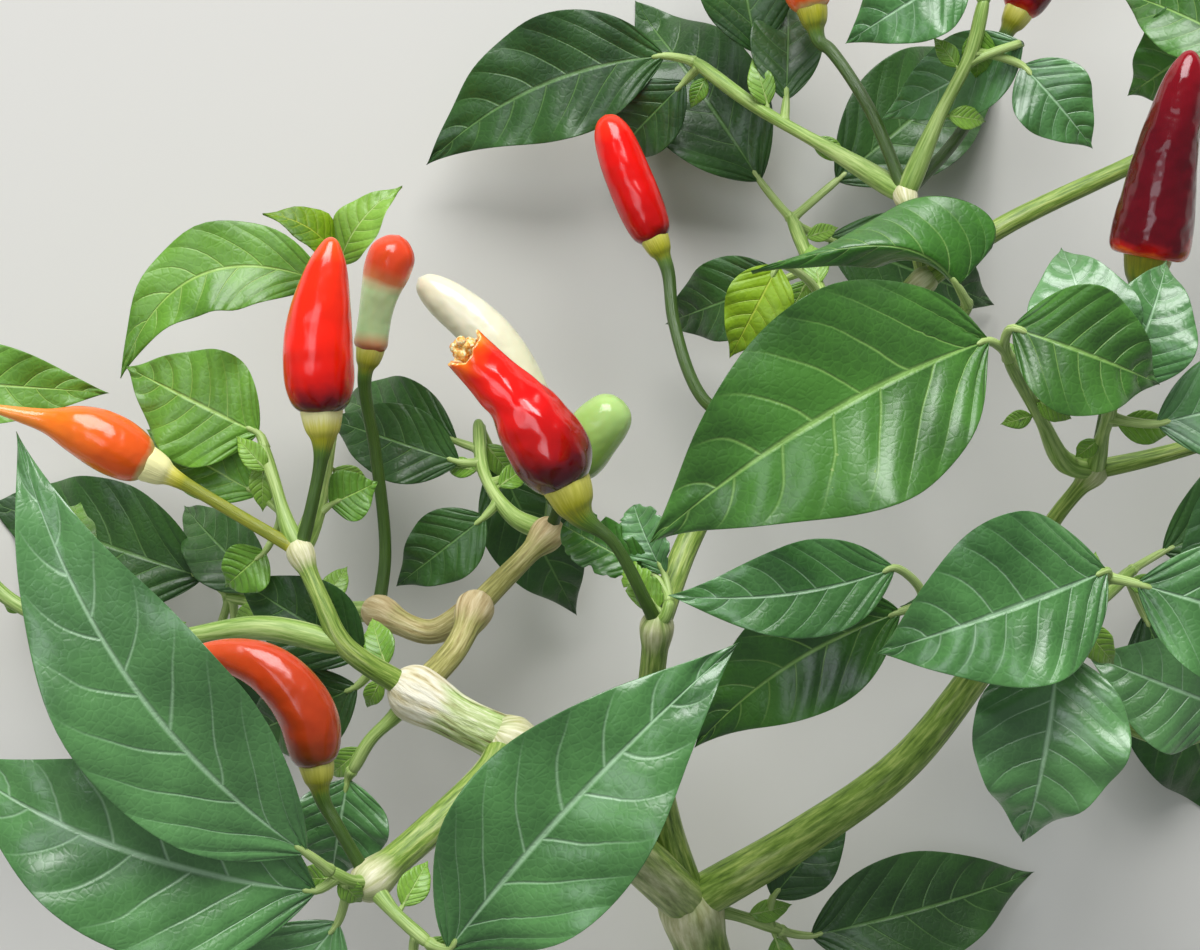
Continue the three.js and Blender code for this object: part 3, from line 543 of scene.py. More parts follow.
# %% The fruits' colours
BRIGHT = fruit_skin(
    "ripe bright red chili skin",
    [(0, "#3c020e"), (0.06, "#6e020e"), (0.17, "#e01004"), (0.45, "#ff2004"),
     (0.85, "#ff3008"), (1, "#ff5a18")],
    roughness=0.2, dents=0.0022, fineness=160, coat=0.6, dull=0.12,
)
SCARLET = fruit_skin(
    "ripe scarlet chili skin",
    [(0, "#6a0408"), (0.1, "#b80604"), (0.4, "#d40603"), (0.8, "#f01004"), (1, "#f8401c")],
    roughness=0.2, dents=0.0011, fineness=240, coat=0.3,
)
# The first stops, dark maroon next to the calyx, are partly a darker ripe colour and partly painted shade and
# a painted reflection of the dark surroundings.
DEEP = fruit_skin(
    "ripe deep red chili skin",
    [(0, "#36020e"), (0.14, "#62020f"), (0.3, "#bc0504"), (0.6, "#f60803"),
     (0.86, "#f81a04"), (0.95, "#fa5a08"), (1, "#ff8418")],
    roughness=0.16, dents=0.002, fineness=190, coat=0.75, dull=0.08,
)
CRIMSON = fruit_skin(
    "overripe crimson chili skin",
    [(0, "#e05a10"), (0.035, "#b01410"), (0.1, "#600210"), (0.55, "#5a0311"),
     (0.85, "#780413"), (1, "#940817")],
    roughness=0.14, dents=0.0009, coat=0.3,
)
IVORY = fruit_skin(
    "unripe ivory chili skin",
    [(0, "#bcc880"), (0.25, "#e0deb8"), (0.7, "#eae7ca"), (1, "#e6e2c2")],
    roughness=0.28,
)
TURNING = fruit_skin(
    "half ripe chili skin",
    [(0, "#c0502f"), (0.07, "#cc9a70"), (0.17, "#c8e4a8"), (0.5, "#d8eeb4"),
     (0.56, "#f2dfac"), (0.61, "#f08a58"), (0.72, "#f4532a"), (1, "#f04a24")],
    blotchy=0.04,
)
ORANGE = fruit_skin(
    "half ripe orange chili skin",
    [(0, "#dcbc7a"), (0.06, "#e65c1c"), (0.25, "#ee5e16"), (0.6, "#f87c1c"), (1, "#f4a04a")],
    roughness=0.22,
)
RUSSET = fruit_skin(
    "half ripe russet chili skin",
    [(0, "#7a3c12"), (0.2, "#ae3a12"), (0.6, "#cc4016"), (1, "#d8582a")],
)
GREEN = fruit_skin("unripe green chili skin", [(0, "#74963a"), (0.4, "#94b858"), (1, "#b0d27e")])
print("fruit skins:", [name for name in bpy.data.materials.keys() if name.endswith("chili skin")])

# %% [markdown]
# Where the bitten chili is broken, its flesh shows. It gets a finish of its own, and a fine noise draws
# its grains both in colour and in relief.

# %% Broken flesh
# Broken chili flesh: wet, grainy and orange, so it is rougher than the skin and scatters more.
# Its grains are some 0.7 mm large.
GRAIN_SCALE = 1400
flesh, tree, shader = start_material("broken chili flesh")
where = add_node(tree, COORDINATES).outputs["Object"]
grain = add_node(tree, NOISE, {"Vector": where, "Scale": GRAIN_SCALE, "Detail": 4})
# The palest, near-white grains are partly the flesh's own pale colour and partly painted highlight.
tint = add_node(tree, RAMP, {0: grain}, stops=[(0.35, "#f0862a"), (0.5, "#ffc465"), (0.65, "#fff4cc")])
height = add_node(tree, BUMP, {"Height": grain, "Distance": 0.0005})
fill(tree, shader, {"Base Color": tint, "Normal": height, "Roughness": 0.35})
fill(tree, shader, {"Subsurface Weight": 0.3, "Subsurface Scale": 0.001})
print("flesh:", flesh.name)

# %% [markdown]
# The fruits are turned on bent axes too, each from one of six outlines. Three or four places are
# enough for an axis, because the spline carries it smoothly through them.

# %% The fruits' places and outlines
# Each fruit's outline and radius, the start of its stalk, and its axis from the calyx to the tip.
FRUITS = {
    "upright_red": dict(
        outline="plump", radius=5.5, stalk=[LEFT_FORK, [-44.9, -4, 64]],
        axis=[[-43.6, 9.8, 64], [-44, 22, 65], [-41.9, 37.2, 66]],
    ),
    "bitten_red": dict(
        outline="bitten", radius=6.4, stalk=[CENTRE_FORK, [7.2, -20, 62.5], [2, -10.5, 64]],
        axis=[[-5.3, -1.6, 64], [-8.5, 5, 64.6], [-14, 12.3, 65.3], [-21, 19.6, 66]],
    ),
    "cream": dict(
        outline="blunt", radius=4.1, stalk=[FAR_FORK, [-7.2, -2, 35]],
        axis=[[-8.6, 6.2, 32], [-16.4, 20.5, 31], [-28.4, 30.8, 30]],
    ),
    "turning": dict(
        outline="clubbed", radius=3.9, stalk=[SHADE_FORK, [-33.6, -12, 36], [-35.2, 4, 35]],
        axis=[[-36, 19.5, 36], [-34.5, 28, 37], [-31.4, 37.5, 38]],
    ),
    "orange": dict(
        outline="tailed", radius=4.7, stalk=[LEFT_FORK, [-54.7, -7.4, 63]],
        axis=[[-70.6, 1.6, 63], [-80, 6.5, 64], [-95.3, 10.6, 65]],
    ),
    "low_orange": dict(
        outline="plump", radius=4.4, stalk=[NEAR_FORK, [-41, -55, 86]],
        axis=[[-44.4, -45.3, 86], [-46, -37, 87], [-52.5, -30, 87], [-63.3, -27.2, 86]],
    ),
    "high_red": dict(
        outline="blunt", radius=3.9, stalk=[UPPER_BEND, [16, 12, 43], [11.5, 24, 34]],
        axis=[[8.6, 36.7, 30], [4.5, 46.5, 29], [0.8, 56.3, 28]],
    ),
    "dark_crimson": dict(
        outline="shouldered", radius=6.3, stalk=[SMALL_FORK, [79.5, 12, 64], [83, 24, 63]],
        axis=[[85.6, 34.2, 64], [88.6, 50, 66], [92.5, 66.4, 67]],
    ),
    "top_orange": dict(
        outline="plump", radius=4.2, stalk=[TOP_FORK, [42.2, 57, 45], [36, 66.4, 40]],
        axis=[[33.1, 72.7, 38], [30.5, 84, 37], [27.5, 95, 36]],
    ),
    "top_dark_red": dict(
        outline="plump", radius=4, stalk=[TOP_FORK, [56, 53, 42], [62, 64, 36]],
        axis=[[65.3, 72.3, 34], [70.5, 82, 33], [76, 91, 32]],
    ),
    "young_green": dict(
        outline="blunt", radius=4.6, stalk=[FAR_FORK, [-6.5, -4.5, 42]],
        axis=[[-4.7, 0.8, 44], [-1, 6.5, 45], [3.6, 11.6, 46]],
    ),
}
# Distance from the calyx over the length and radius over the largest, as far as each outline goes.
OUTLINES = {
    "plump": [[0, 0.52], [0.04, 0.78], [0.14, 0.96], [0.3, 1], [0.52, 0.91], [0.72, 0.72],
        [0.88, 0.48], [0.98, 0.2]],
    "blunt": [[0, 0.52], [0.05, 0.8], [0.2, 0.97], [0.45, 1], [0.7, 0.93], [0.88, 0.74], [0.97, 0.42]],
    "clubbed": [[0, 0.52], [0.04, 0.7], [0.15, 0.7], [0.3, 0.71], [0.5, 0.82], [0.7, 1],
        [0.86, 0.94], [0.97, 0.46]],
    "shouldered": [[0, 0.86], [0.03, 0.98], [0.12, 1], [0.35, 0.86], [0.62, 0.68], [0.88, 0.46],
        [0.98, 0.2]],
    "tailed": [[0, 0.5], [0.05, 0.78], [0.18, 0.98], [0.34, 0.97], [0.5, 0.76], [0.66, 0.42],
        [0.82, 0.26], [0.98, 0.13]],
    "bitten": [[0, 0.56], [0.04, 0.74], [0.12, 0.91], [0.26, 1], [0.42, 0.92], [0.6, 0.76],
        [0.78, 0.63], [1, 0.57]],
}
print(len(FRUITS), "fruits share", len(OUTLINES), "outlines")

# %% [markdown]
# Soft flutes keep the fruits from looking moulded, and the overripe one is more deeply fluted. They are
# in the mesh, so they bend the glints on the skin as real ones do.

# %% Whole fruits
# Skin, depth of the flutes over the radius, and the record's slot of each fruit.
FRUIT_LOOKS = {
    "upright_red": (BRIGHT, 0.022, "fruit_red"),
    "bitten_red": (DEEP, 0.05, "fruit_deep_red"),
    "cream": (IVORY, 0.015, "fruit_ivory"),
    "turning": (TURNING, 0.02, "fruit_orange_red"),
    "orange": (ORANGE, 0.025, "fruit_orange"),
    "low_orange": (RUSSET, 0.03, "fruit_orange_red"),
    "high_red": (SCARLET, 0.02, "fruit_red"),
    "dark_crimson": (CRIMSON, 0.05, "fruit_crimson"),
    "top_orange": (ORANGE, 0.025, "fruit_orange_red"),
    "top_dark_red": (CRIMSON, 0.03, "fruit_crimson"),
    "young_green": (GREEN, 0.015, "fruit_green"),
}
# Points round a fruit, and the distance between its rows.
FRUIT_SIDES, FRUIT_STEP = 72, 0.32
# How each outline starts under the calyx and how a whole one ends, over the length and the radius.
FRUIT_START = [[0, 0], [0, 0.35]]
FRUIT_END = [[0.996, 0.09], [1, 0]]
# The fruits' seeds start here, and the fine flutes' are this much further on.
FRUIT_SEED, FINE_SEED = 20, 50


def fruit_rows(part):
    """Distance and radius of each row, from the middle of the base to the tip."""
    length = path_through(place(part["axis"]))["length"]
    outline = FRUIT_START + OUTLINES[part["outline"]] + ([] if part["outline"] == "bitten" else FRUIT_END)
    return smooth_profile(np.array(outline) * [length, part["radius"]], FRUIT_STEP)


def whole_fruit(name, part, seed):
    """Radius times 1 + flutes, which fade at both ends."""
    distance, radius = fruit_rows(part)
    way = path_through(place(part["axis"]))
    skin, depth, slot_name = FRUIT_LOOKS[name]
    share = np.clip(distance / way["length"], 0, 1)
    fade = np.sin(np.pi * np.clip(share * 0.94 + 0.04, 0, 1))[:, None] ** 0.5
    broad = flutes(len(distance), FRUIT_SIDES, seed, count=4, turns=(1, 4), sway=1.2)
    fine = flutes(len(distance), FRUIT_SIDES, seed + FINE_SEED, count=5, turns=(4, 9), sway=3)
    swollen = radius[:, None] * (1 + depth * fade * (broad + 0.5 * fine))
    surface = round_surface(way, distance, swollen, FRUIT_SIDES)
    make_piece(f"chili_{name}", [shell(surface, share=share)], [skin], f"fruit_{name}")


for seed, (name, part) in enumerate(FRUITS.items()):
    if part["outline"] != "bitten":
        whole_fruit(name, part, seed + FRUIT_SEED)
print(len(FRUITS) - 1, "whole fruits")

# %% [markdown]
# The bitten fruit is broken off at its tip. The skin runs up to a ragged rim with one tall splinter,
# folds over it and turns into the orange flesh of a shallow hollow. All of it is one surface, whose
# radius shrinks again past the rim.

# %% The broken skin
# Splinters and notches of the rim: degrees round it, width in degrees and height in millimetres.
RIM_BUMPS = [(12, 10, 1.0), (180, 18, 0.15), (105, 34, -1.6), (45, 14, -0.5), (262, 26, 0.5)]
# The rim's small teeth, and how far down from it they and the bumps fade out.
TEETH_HEIGHT, RIM_REACH = 0.25, 3.2
# Dents in the skin: share of the length, degrees round it and depth over the radius.
DENTS = [
    (0.6, 175, 0.16), (0.86, 55, 0.09), (0.38, 25, 0.05),
    (0.7, 40, 0.1), (0.53, 70, 0.06), (0.3, 110, 0.05),
]
# How wide each dent is: degrees round the fruit and share of its length.
DENT_DEGREES, DENT_SHARE = 34, 0.08
# The hollow from its rim to its middle: how far in, its radius over the rim's, and its depth.
HOLLOW_WAY = [0, 0.12, 0.3, 0.8, 1]
HOLLOW_RADIUS = [1, 0.9, 0.72, 0.42, 0]
HOLLOW_DEPTH = [0, -0.15, 0.7, 3.15, 3.5]
HOLLOW_ROWS = 15
# Its flutes are deeper and more swayed than a whole fruit's: shares of the broad and of the fine.
BROAD_SHARE, FINE_SHARE = 0.7, 0.8


def bump_at(angle, degrees, width):
    """A bell round an angle: exp(-(difference / width) squared)."""
    apart = (np.degrees(angle) - degrees + 180) % 360 - 180
    return np.exp(-((apart / width) ** 2))


def bitten_skin(part, way, depth, seed):
    """The skin's rows, then the rim, the hollow's wall and its bottom, slid along by the rim's height.
    Beside the surface, each row's share of the length and slot are given."""
    length = way["length"]
    distance, radius = fruit_rows(part)
    rim, skin_rows = radius[-1], len(distance)
    inner = np.linspace(0, 1, HOLLOW_ROWS + 1)[1:]
    distance = np.append(distance, length - np.interp(inner, HOLLOW_WAY, HOLLOW_DEPTH))
    radius = np.append(radius, np.interp(inner, HOLLOW_WAY, HOLLOW_RADIUS) * rim)
    angle = np.arange(FRUIT_SIDES) * math.tau / FRUIT_SIDES
    ragged = sum(height * bump_at(angle, degrees, width) for degrees, width, height in RIM_BUMPS)
    ragged = ragged + TEETH_HEIGHT * flutes(1, FRUIT_SIDES, 5, turns=(7, 15))[0]
    near_rim = np.clip((distance - (length - RIM_REACH)) / RIM_REACH, 0, 1) ** 1.5
    near_rim = near_rim * np.clip(radius / (0.6 * rim), 0, 1)
    fade = np.sin(np.pi * np.clip(distance / length * 0.8 + 0.05, 0, 1))[:, None] ** 0.6
    broad = flutes(len(distance), FRUIT_SIDES, seed, count=4, turns=(1, 4), sway=1.6)
    fine = flutes(len(distance), FRUIT_SIDES, seed + 9, count=6, turns=(3, 9), sway=4.5)
    swollen = radius[:, None] * (1 + depth * fade * (BROAD_SHARE * broad + FINE_SHARE * fine))
    shares = (distance / length)[:, None]
    for share, degrees, deep in DENTS:
        bell = bump_at(angle, degrees, DENT_DEGREES) * np.exp(-(((shares - share) / DENT_SHARE) ** 2))
        swollen = swollen * (1 - deep * bell)
    surface = round_surface(way, distance, swollen, FRUIT_SIDES, near_rim[:, None] * ragged)
    slots = np.where(np.arange(len(distance) - 1) < skin_rows - 1, 0, 1)[:, None]
    return surface, np.clip(distance / length, 0, 1), slots, rim


print("the tallest splinter is", max(height for _, _, height in RIM_BUMPS), "mm high")

# %% [markdown]
# A lump of crumbs of the flesh still stands up from the hollow. Each crumb is a small uneven ball, and
# a seeded draw scatters them about the rim's middle.

# %% The bitten fruit
# The crumbs: how many, and how far from the rim's middle and how large they are, from and to.
CRUMBS, CRUMB_SEED = 18, 8
CRUMB_UP, CRUMB_SIDEWAYS, CRUMB_OUTWARD, CRUMB_SIZE = (-0.6, 1.6), (-1.3, 1.1), (-0.1, 0.6), (0.7, 1.1)
CRUMB_ROWS, CRUMB_SIDES, CRUMB_LUMPS = 14, 18, 0.28


def crumb(centre, size, seed):
    """A lump: a sphere whose radius is swayed by seeded waves."""
    way = path_through([centre - np.array([0, 0, size]), centre, centre + np.array([0, 0, size])])
    tilt = np.linspace(0.08, np.pi - 0.08, CRUMB_ROWS)
    lumps = 1 + CRUMB_LUMPS * flutes(CRUMB_ROWS, CRUMB_SIDES, seed, count=4, turns=(1, 4), sway=4)
    return round_surface(way, size * (1 - np.cos(tilt)), size * np.sin(tilt)[:, None] * lumps, CRUMB_SIDES)


def bitten_fruit(name, part, seed):
    """The broken skin with its hollow, and the crumbs that stand in it."""
    skin, depth, slot_name = FRUIT_LOOKS[name]
    way = path_through(place(part["axis"]))
    surface, share, slots, rim = bitten_skin(part, way, depth, seed)
    shells = [shell(surface, slot=slots, share=share)]
    _, _, across, over = section_axes(way, np.array([way["length"]]))
    random = np.random.default_rng(CRUMB_SEED)
    for k in range(CRUMBS):
        up, sideways = random.uniform(*CRUMB_UP), random.uniform(*CRUMB_SIDEWAYS)
        outward = random.uniform(*CRUMB_OUTWARD) * rim
        centre = along(way, [way["length"] + up])[0][0] + sideways * across[0] + outward * over[0]
        shells.append(shell(crumb(centre, random.uniform(*CRUMB_SIZE), k), slot=1))
    make_piece(f"chili_{name}", shells, [skin, flesh], f"fruit_{name}")


bitten_fruit("bitten_red", FRUITS["bitten_red"], 3)

# %% [markdown]
# A fruit's stalk and calyx are one waxy green skin, streaked lengthwise. The number called pale says
# where it has faded to yellow and ivory, and the noise of the streaks makes that edge uneven.

# %% Stalk skin
calyx_green, tree, shader = start_material("waxy fruit stalk")
pale = add_node(tree, ATTRIBUTE, attribute_name="pale")
# The streaks are some 4 mm long, and 52 of them go round the stalk.
stretch = add_node(tree, "ShaderNodeMapping", {0: add_node(tree, UV_MAP, uv_map="surface"), 3: (1.2, 26, 1)})
streaks = add_node(tree, NOISE, {"Vector": stretch, "Scale": 2, "Detail": 4})
drift = add_node(tree, REMAP, {0: streaks, 3: -0.18, 4: 0.18})
tone = add_node(tree, MATH, {0: pale.outputs["Fac"], 1: drift}, operation="ADD")
stops = [(0, "#1f3a0c"), (0.28, "#4f6e22"), (0.55, "#a8a626"), (0.8, "#d8d262"), (1, "#f0ecaa")]
tint = add_node(tree, RAMP, {0: tone}, stops=stops)
height = add_node(tree, BUMP, {"Height": streaks, "Distance": 0.0002, "Strength": 0.6})
fill(tree, shader, {"Base Color": tint, "Normal": height, "Roughness": 0.38})
print("stalk skin:", calyx_green.name)

# %% [markdown]
# A fruit sits in its calyx, a small cup with five worn points, pale where it hugs the fruit. The stalk
# below it flares like a trumpet, and its ribs run down from the points.

# %% Stalks and calyxes
# How pale each calyx and each stalk is, where it isn't as usual.
CALYX_TONE = {
    "upright_red": 0.95, "bitten_red": 0.66, "orange": 1.0,
    "dark_crimson": 0.4, "top_orange": 0.5, "high_red": 0.6,
}
STALK_TONE = {"orange": 0.42}
USUAL_CALYX, USUAL_STALK = 0.7, 0.12
# Lengths belong to a fruit of this radius, and a larger one has a larger cup.
COMMON_FRUIT_RADIUS = 5.5
# How long the flare below the fruit is, and the cup's radius over the fruit's.
NECK_LENGTH, CUP_RADIUS = 7.5, 0.57
# The stalk's radius at its foot, a little further on and where it flares, and halfway, where it is thinnest.
FOOT_RADIUS, STALK_RADIUS, WAIST_RADIUS, FOOT_REACH = 1.3, 1.15, 1.0, 1.4
# The cup: distance past the fruit's base, and radius over the cup's. It turns in over its rim.
CUP_PROFILE = [[-4.2, 0.62], [-2.94, 0.84], [-1.05, 1.0], [0.6, 1.07], [0.8, 1.03], [0.3, 0.6], [0.2, 0]]
# The calyx's points and how high they stand, and the ribs below them and between them.
POINTS, POINT_HEIGHT, RIBS, FINE_RIBS = 5, 0.45, 0.035, 0.02
STALK_SIDES, STALK_STEP = 40, 0.3


def fruit_stalk(name, part):
    """A thin ribbed tube that flares to the calyx, whose rim is slid up and down in five points."""
    fruit_way = path_through(place(part["axis"]))
    base, inward = fruit_way["points"][0], fruit_way["slopes"][0]
    way = path_through([*place(part["stalk"]), base - 0.7 * NECK_LENGTH * inward, base])
    length, cup, size = way["length"], CUP_RADIUS * part["radius"], part["radius"] / COMMON_FRUIT_RADIUS
    thin = length - NECK_LENGTH * size
    pairs = [[0, 0], [0, FOOT_RADIUS], [FOOT_REACH, STALK_RADIUS]]
    pairs += [[thin / 2, WAIST_RADIUS], [thin, STALK_RADIUS]]
    pairs += [[length + past * size, share * cup] for past, share in CUP_PROFILE]
    distance, radius = smooth_profile(pairs, STALK_STEP)
    angle = np.arange(STALK_SIDES) * math.tau / STALK_SIDES
    at_rim = np.clip((distance - (length - 0.8 * size)) / (1.4 * size), 0, 1)
    at_rim = at_rim * np.clip(radius / (0.8 * cup), 0, 1)
    ribs = RIBS * np.cos(POINTS * angle) + FINE_RIBS * flutes(1, STALK_SIDES, 4, turns=(6, 10))[0]
    points = POINT_HEIGHT * size * np.cos(POINTS * angle) * at_rim[:, None]
    surface = round_surface(way, distance, radius[:, None] * (1 + ribs), STALK_SIDES, points)
    pale = CALYX_TONE.get(name, USUAL_CALYX) * np.clip((distance - thin) / (length - thin), 0, 1)
    pale = pale + STALK_TONE.get(name, USUAL_STALK) + 0.5 * np.clip(0.8 - distance / 3, 0, 1)
    skin = shell(surface, pale=pale[:, None], share=distance / UV_STEP)
    make_piece(f"calyx_{name}", [skin], [calyx_green], f"stalk_{name}")


for name, part in FRUITS.items():
    fruit_stalk(name, part)
print(len(FRUITS), "stalks with calyxes")

# %% [markdown]
# A chili leaf is glossy above, with fine sunken veins that the blade puffs up between, and dull and
# paler below, where the veins stand out. Seven side veins or so leave the midrib on each side and
# bend towards the tip. On the UV map each is a line of equal phase, which is t less a curve of the
# way out, so the pattern is a sawtooth of the phase, and the finest net of veins comes from the
# edges of small cells.

# %% Leaf skins
SIDE_VEINS = 7
# How far each side vein runs on towards the tip: slope and bend of its path over the way out, times
# what is left to a place just past the tip.
VEIN_SLOPE, VEIN_BEND, VEIN_END = 0.17, 0.16, 1.2
# The veins of one half start this share of their spacing further on than the other half's.
VEIN_STAGGER = 0.4
# How far a side vein strays, over their spacing, in waves of some 14 mm.
VEIN_SWAY, SWAY_SCALE = 0.25, 70
# The net has cells of a good millimetre, and the mottling has patches of some 12 mm.
NET_SCALE, MOTTLE_SCALE = 800, 80
SMOOTH = "SMOOTHSTEP"


def leaf_skin(name, dark, light, vein, roughness, sunken, gloss):
    """Veined leaf skin. dark and light mottle the blade, sunken is the depth of its veins in metres,
    less than 0 where they stand out, and gloss the weight of the clear coat."""
    material, tree, shader = start_material(name)
    parts = add_node(tree, "ShaderNodeSeparateXYZ", {0: add_node(tree, UV_MAP, uv_map="surface")})
    along_it = parts.outputs["X"]
    where = add_node(tree, COORDINATES).outputs["Object"]
    signed = add_node(tree, MATH, {0: parts.outputs["Y"], 1: 2, 2: -1}, operation="MULTIPLY_ADD")
    out = add_node(tree, MATH, {0: signed}, operation="ABSOLUTE")
    side = add_node(tree, MATH, {0: signed, 1: 0}, operation="GREATER_THAN")
    # Side veins: the phase's distance from the middle of its sawtooth, narrow and fading outwards.
    bend = add_node(tree, MATH, {0: out, 1: VEIN_BEND, 2: VEIN_SLOPE}, operation="MULTIPLY_ADD")
    reach = add_node(tree, MATH, {0: out, 1: bend}, operation="MULTIPLY")
    forward = add_node(tree, MATH, {0: VEIN_END, 1: along_it}, operation="SUBTRACT")
    lag = add_node(tree, MATH, {0: reach, 1: forward}, operation="MULTIPLY")
    start = add_node(tree, MATH, {0: along_it, 1: lag}, operation="SUBTRACT")
    sway = add_node(tree, NOISE, {"Vector": where, "Scale": SWAY_SCALE, "Detail": 1})
    drift = add_node(tree, REMAP, {0: sway, 3: -VEIN_SWAY, 4: VEIN_SWAY})
    offset = add_node(tree, MATH, {0: side, 1: VEIN_STAGGER, 2: drift}, operation="MULTIPLY_ADD")
    phase = add_node(tree, MATH, {0: start, 1: SIDE_VEINS, 2: offset}, operation="MULTIPLY_ADD")
    saw = add_node(tree, MATH, {0: phase}, operation="FRACT")
    centred = add_node(tree, MATH, {0: saw, 1: 0.5}, operation="SUBTRACT")
    away = add_node(tree, MATH, {0: centred}, operation="ABSOLUTE")
    line = add_node(tree, REMAP, {0: away, 1: 0.0, 2: 0.055, 3: 1, 4: 0}, interpolation_type=SMOOTH)
    inside = add_node(tree, REMAP, {0: out, 1: 0.3, 2: 0.95, 3: 0.7, 4: 0.05})
    branch = add_node(tree, MATH, {0: line, 1: inside}, operation="MULTIPLY")
    midrib = add_node(tree, REMAP, {0: out, 1: 0.008, 2: 0.05, 3: 0.95, 4: 0}, interpolation_type=SMOOTH)
    veins = add_node(tree, MATH, {0: branch, 1: midrib}, operation="MAXIMUM")
    # Colour: mottled, lighter along the net, and the vein's own along the veins.
    cells = {"Vector": where, "Scale": NET_SCALE}
    net = add_node(tree, "ShaderNodeTexVoronoi", cells, feature="DISTANCE_TO_EDGE")
    mottle = add_node(tree, NOISE, {"Vector": where, "Scale": MOTTLE_SCALE, "Detail": 5})
    lattice = add_node(tree, REMAP, {0: net, 1: 0, 2: 0.12, 3: 0.07, 4: 0})
    shade = add_node(tree, MATH, {0: mottle, 1: lattice}, operation="ADD")
    blade = add_node(tree, RAMP, {0: shade}, stops=[(0.35, dark), (0.65, light)])
    tint = add_node(tree, MIX, {0: veins, 6: blade, 7: colour(vein)}, data_type="RGBA")
    pale = add_node(tree, ATTRIBUTE, attribute_name="pale").outputs["Fac"]
    aged = add_node(tree, MIX, {0: pale, 6: tint.outputs[2], 7: colour(vein)}, data_type="RGBA")
    # Relief: sunken veins, and a blade that puffs up between them and within the net.
    puff = add_node(tree, REMAP, {0: net, 1: 0, 2: 0.2, 3: 0, 4: 0.12})
    quilt = add_node(tree, REMAP, {0: away, 1: 0, 2: 0.3, 3: 0, 4: 0.5}, interpolation_type=SMOOTH)
    raised = add_node(tree, MATH, {0: puff, 1: quilt}, operation="ADD")
    height = add_node(tree, MATH, {0: veins, 1: -0.8, 2: raised}, operation="MULTIPLY_ADD")
    depth = {"Height": height, "Distance": abs(sunken), "Strength": 0.6}
    relief = add_node(tree, BUMP, depth, invert=sunken < 0)
    fill(tree, shader, {"Base Color": aged.outputs[2], "Normal": relief, "Roughness": roughness, "IOR": 1.45})
    fill(tree, shader, {"Coat Weight": gloss, "Coat Roughness": 0.22})
    return material


# %% [markdown]
# Leaves in the shade are darkest, young ones are yellower, and those under the open sky are glossier,
# with a paler, bluer colour that is a painted sky sheen. A leaf has one skin above and another below,
# and both are kept under the same word.

# %% The leaves' colours
# Waxy upper skins, from shaded to young leaves, and the dull skins below them.
UPPER = {
    "deep": leaf_skin("waxy leaf in the shade", "#20401a", "#366026", "#5f8646", 0.42, 0.0004, 0.3),
    "mid": leaf_skin("waxy full-grown leaf", "#28541a", "#427a26", "#86b058", 0.38, 0.0004, 0.5),
    "bright": leaf_skin("waxy young leaf", "#41701a", "#659a2c", "#9cc25c", 0.42, 0.0004, 0.3),
    # Painted sky sheen: the paler, bluer colour of this skin stands for the open sky mirrored in the leaves.
    # The gloss itself is real.
    "cool": leaf_skin("waxy leaf with painted sky sheen", "#38682f", "#558c48", "#98be92", 0.33, 0.0004, 0.8),
    "lit": leaf_skin("leaf that the light shines through", "#446c06", "#80a60a", "#a8bc3c", 0.5, 0.0003, 0.1),
    "fresh": leaf_skin("waxy new leaf", "#5c8c24", "#82ae3c", "#b4d07a", 0.42, 0.0003, 0.25),
}
UNDER = {
    "deep": leaf_skin("dull underside in the shade", "#415f30", "#587843", "#7f9c62", 0.62, -0.0004, 0.0),
    "mid": leaf_skin("dull underside", "#5c7f34", "#75994a", "#a0ba72", 0.6, -0.0004, 0.0),
    "bright": leaf_skin("dull young underside", "#789c2c", "#94b640", "#bcd078", 0.58, -0.0004, 0.0),
    "cool": leaf_skin("dull blue-green underside", "#527248", "#6a8b5e", "#96b08c", 0.6, -0.0004, 0.0),
    "lit": leaf_skin(
        "underside that the light shines through", "#6c9010", "#98b422", "#bccc58", 0.6, -0.0003, 0.0
    ),
    "fresh": leaf_skin("dull new underside", "#86a838", "#a4c052", "#cadb90", 0.58, -0.0003, 0.0),
}
print("leaf skins:", sorted(UPPER))

# %% [markdown]
# Twigs and leaf stalks are too young for cork. The bark's own streaks do for them too, with hardly any
# relief.

# %% Twig skin
# Leaf stalks and twigs: smooth, green and round, paler where they meet the blade.
twig_green = bark(
    "smooth twig",
    [(0.32, "#57782a"), (0.5, "#7da044"), (0.68, "#a4c065")],
    [(0.35, "#a8c46a"), (0.6, "#cddb9a")],
    0.42, 0.0001,
)
print("twig skin:", twig_green.name)

# %% [markdown]
# The foliage hangs together in sprays, each a twig with its leaves. They are the construction model's.
# A leaf is placed by its two ends, and what is left is how wide it is and how it bends and turns.

# %% Sprays
def leaf(at, neck, tip, half, **shape):
    """at is how far along its twig it grows, neck where its blade begins, half its half width. bow and
    sway bend the midrib, or bends draw it after them. roll turns the face, fold raises each half, and
    twist turns the tip on against the neck, in degrees. widest is where along it the blade is."""
    usual = dict(bow=3, sway=0, roll=0, fold=12, twist=0, bends=(), widest=0.38)
    return dict(at=at, neck=neck, tip=tip, half=half, **(usual | shape))


def twig_with(twig, *leaves, young=0, seed=1):
    """A twig, the leaves that are placed on it, and how many young ones the seeded rule grows there."""
    return dict(twig=twig, leaves=leaves, young=young, seed=seed)


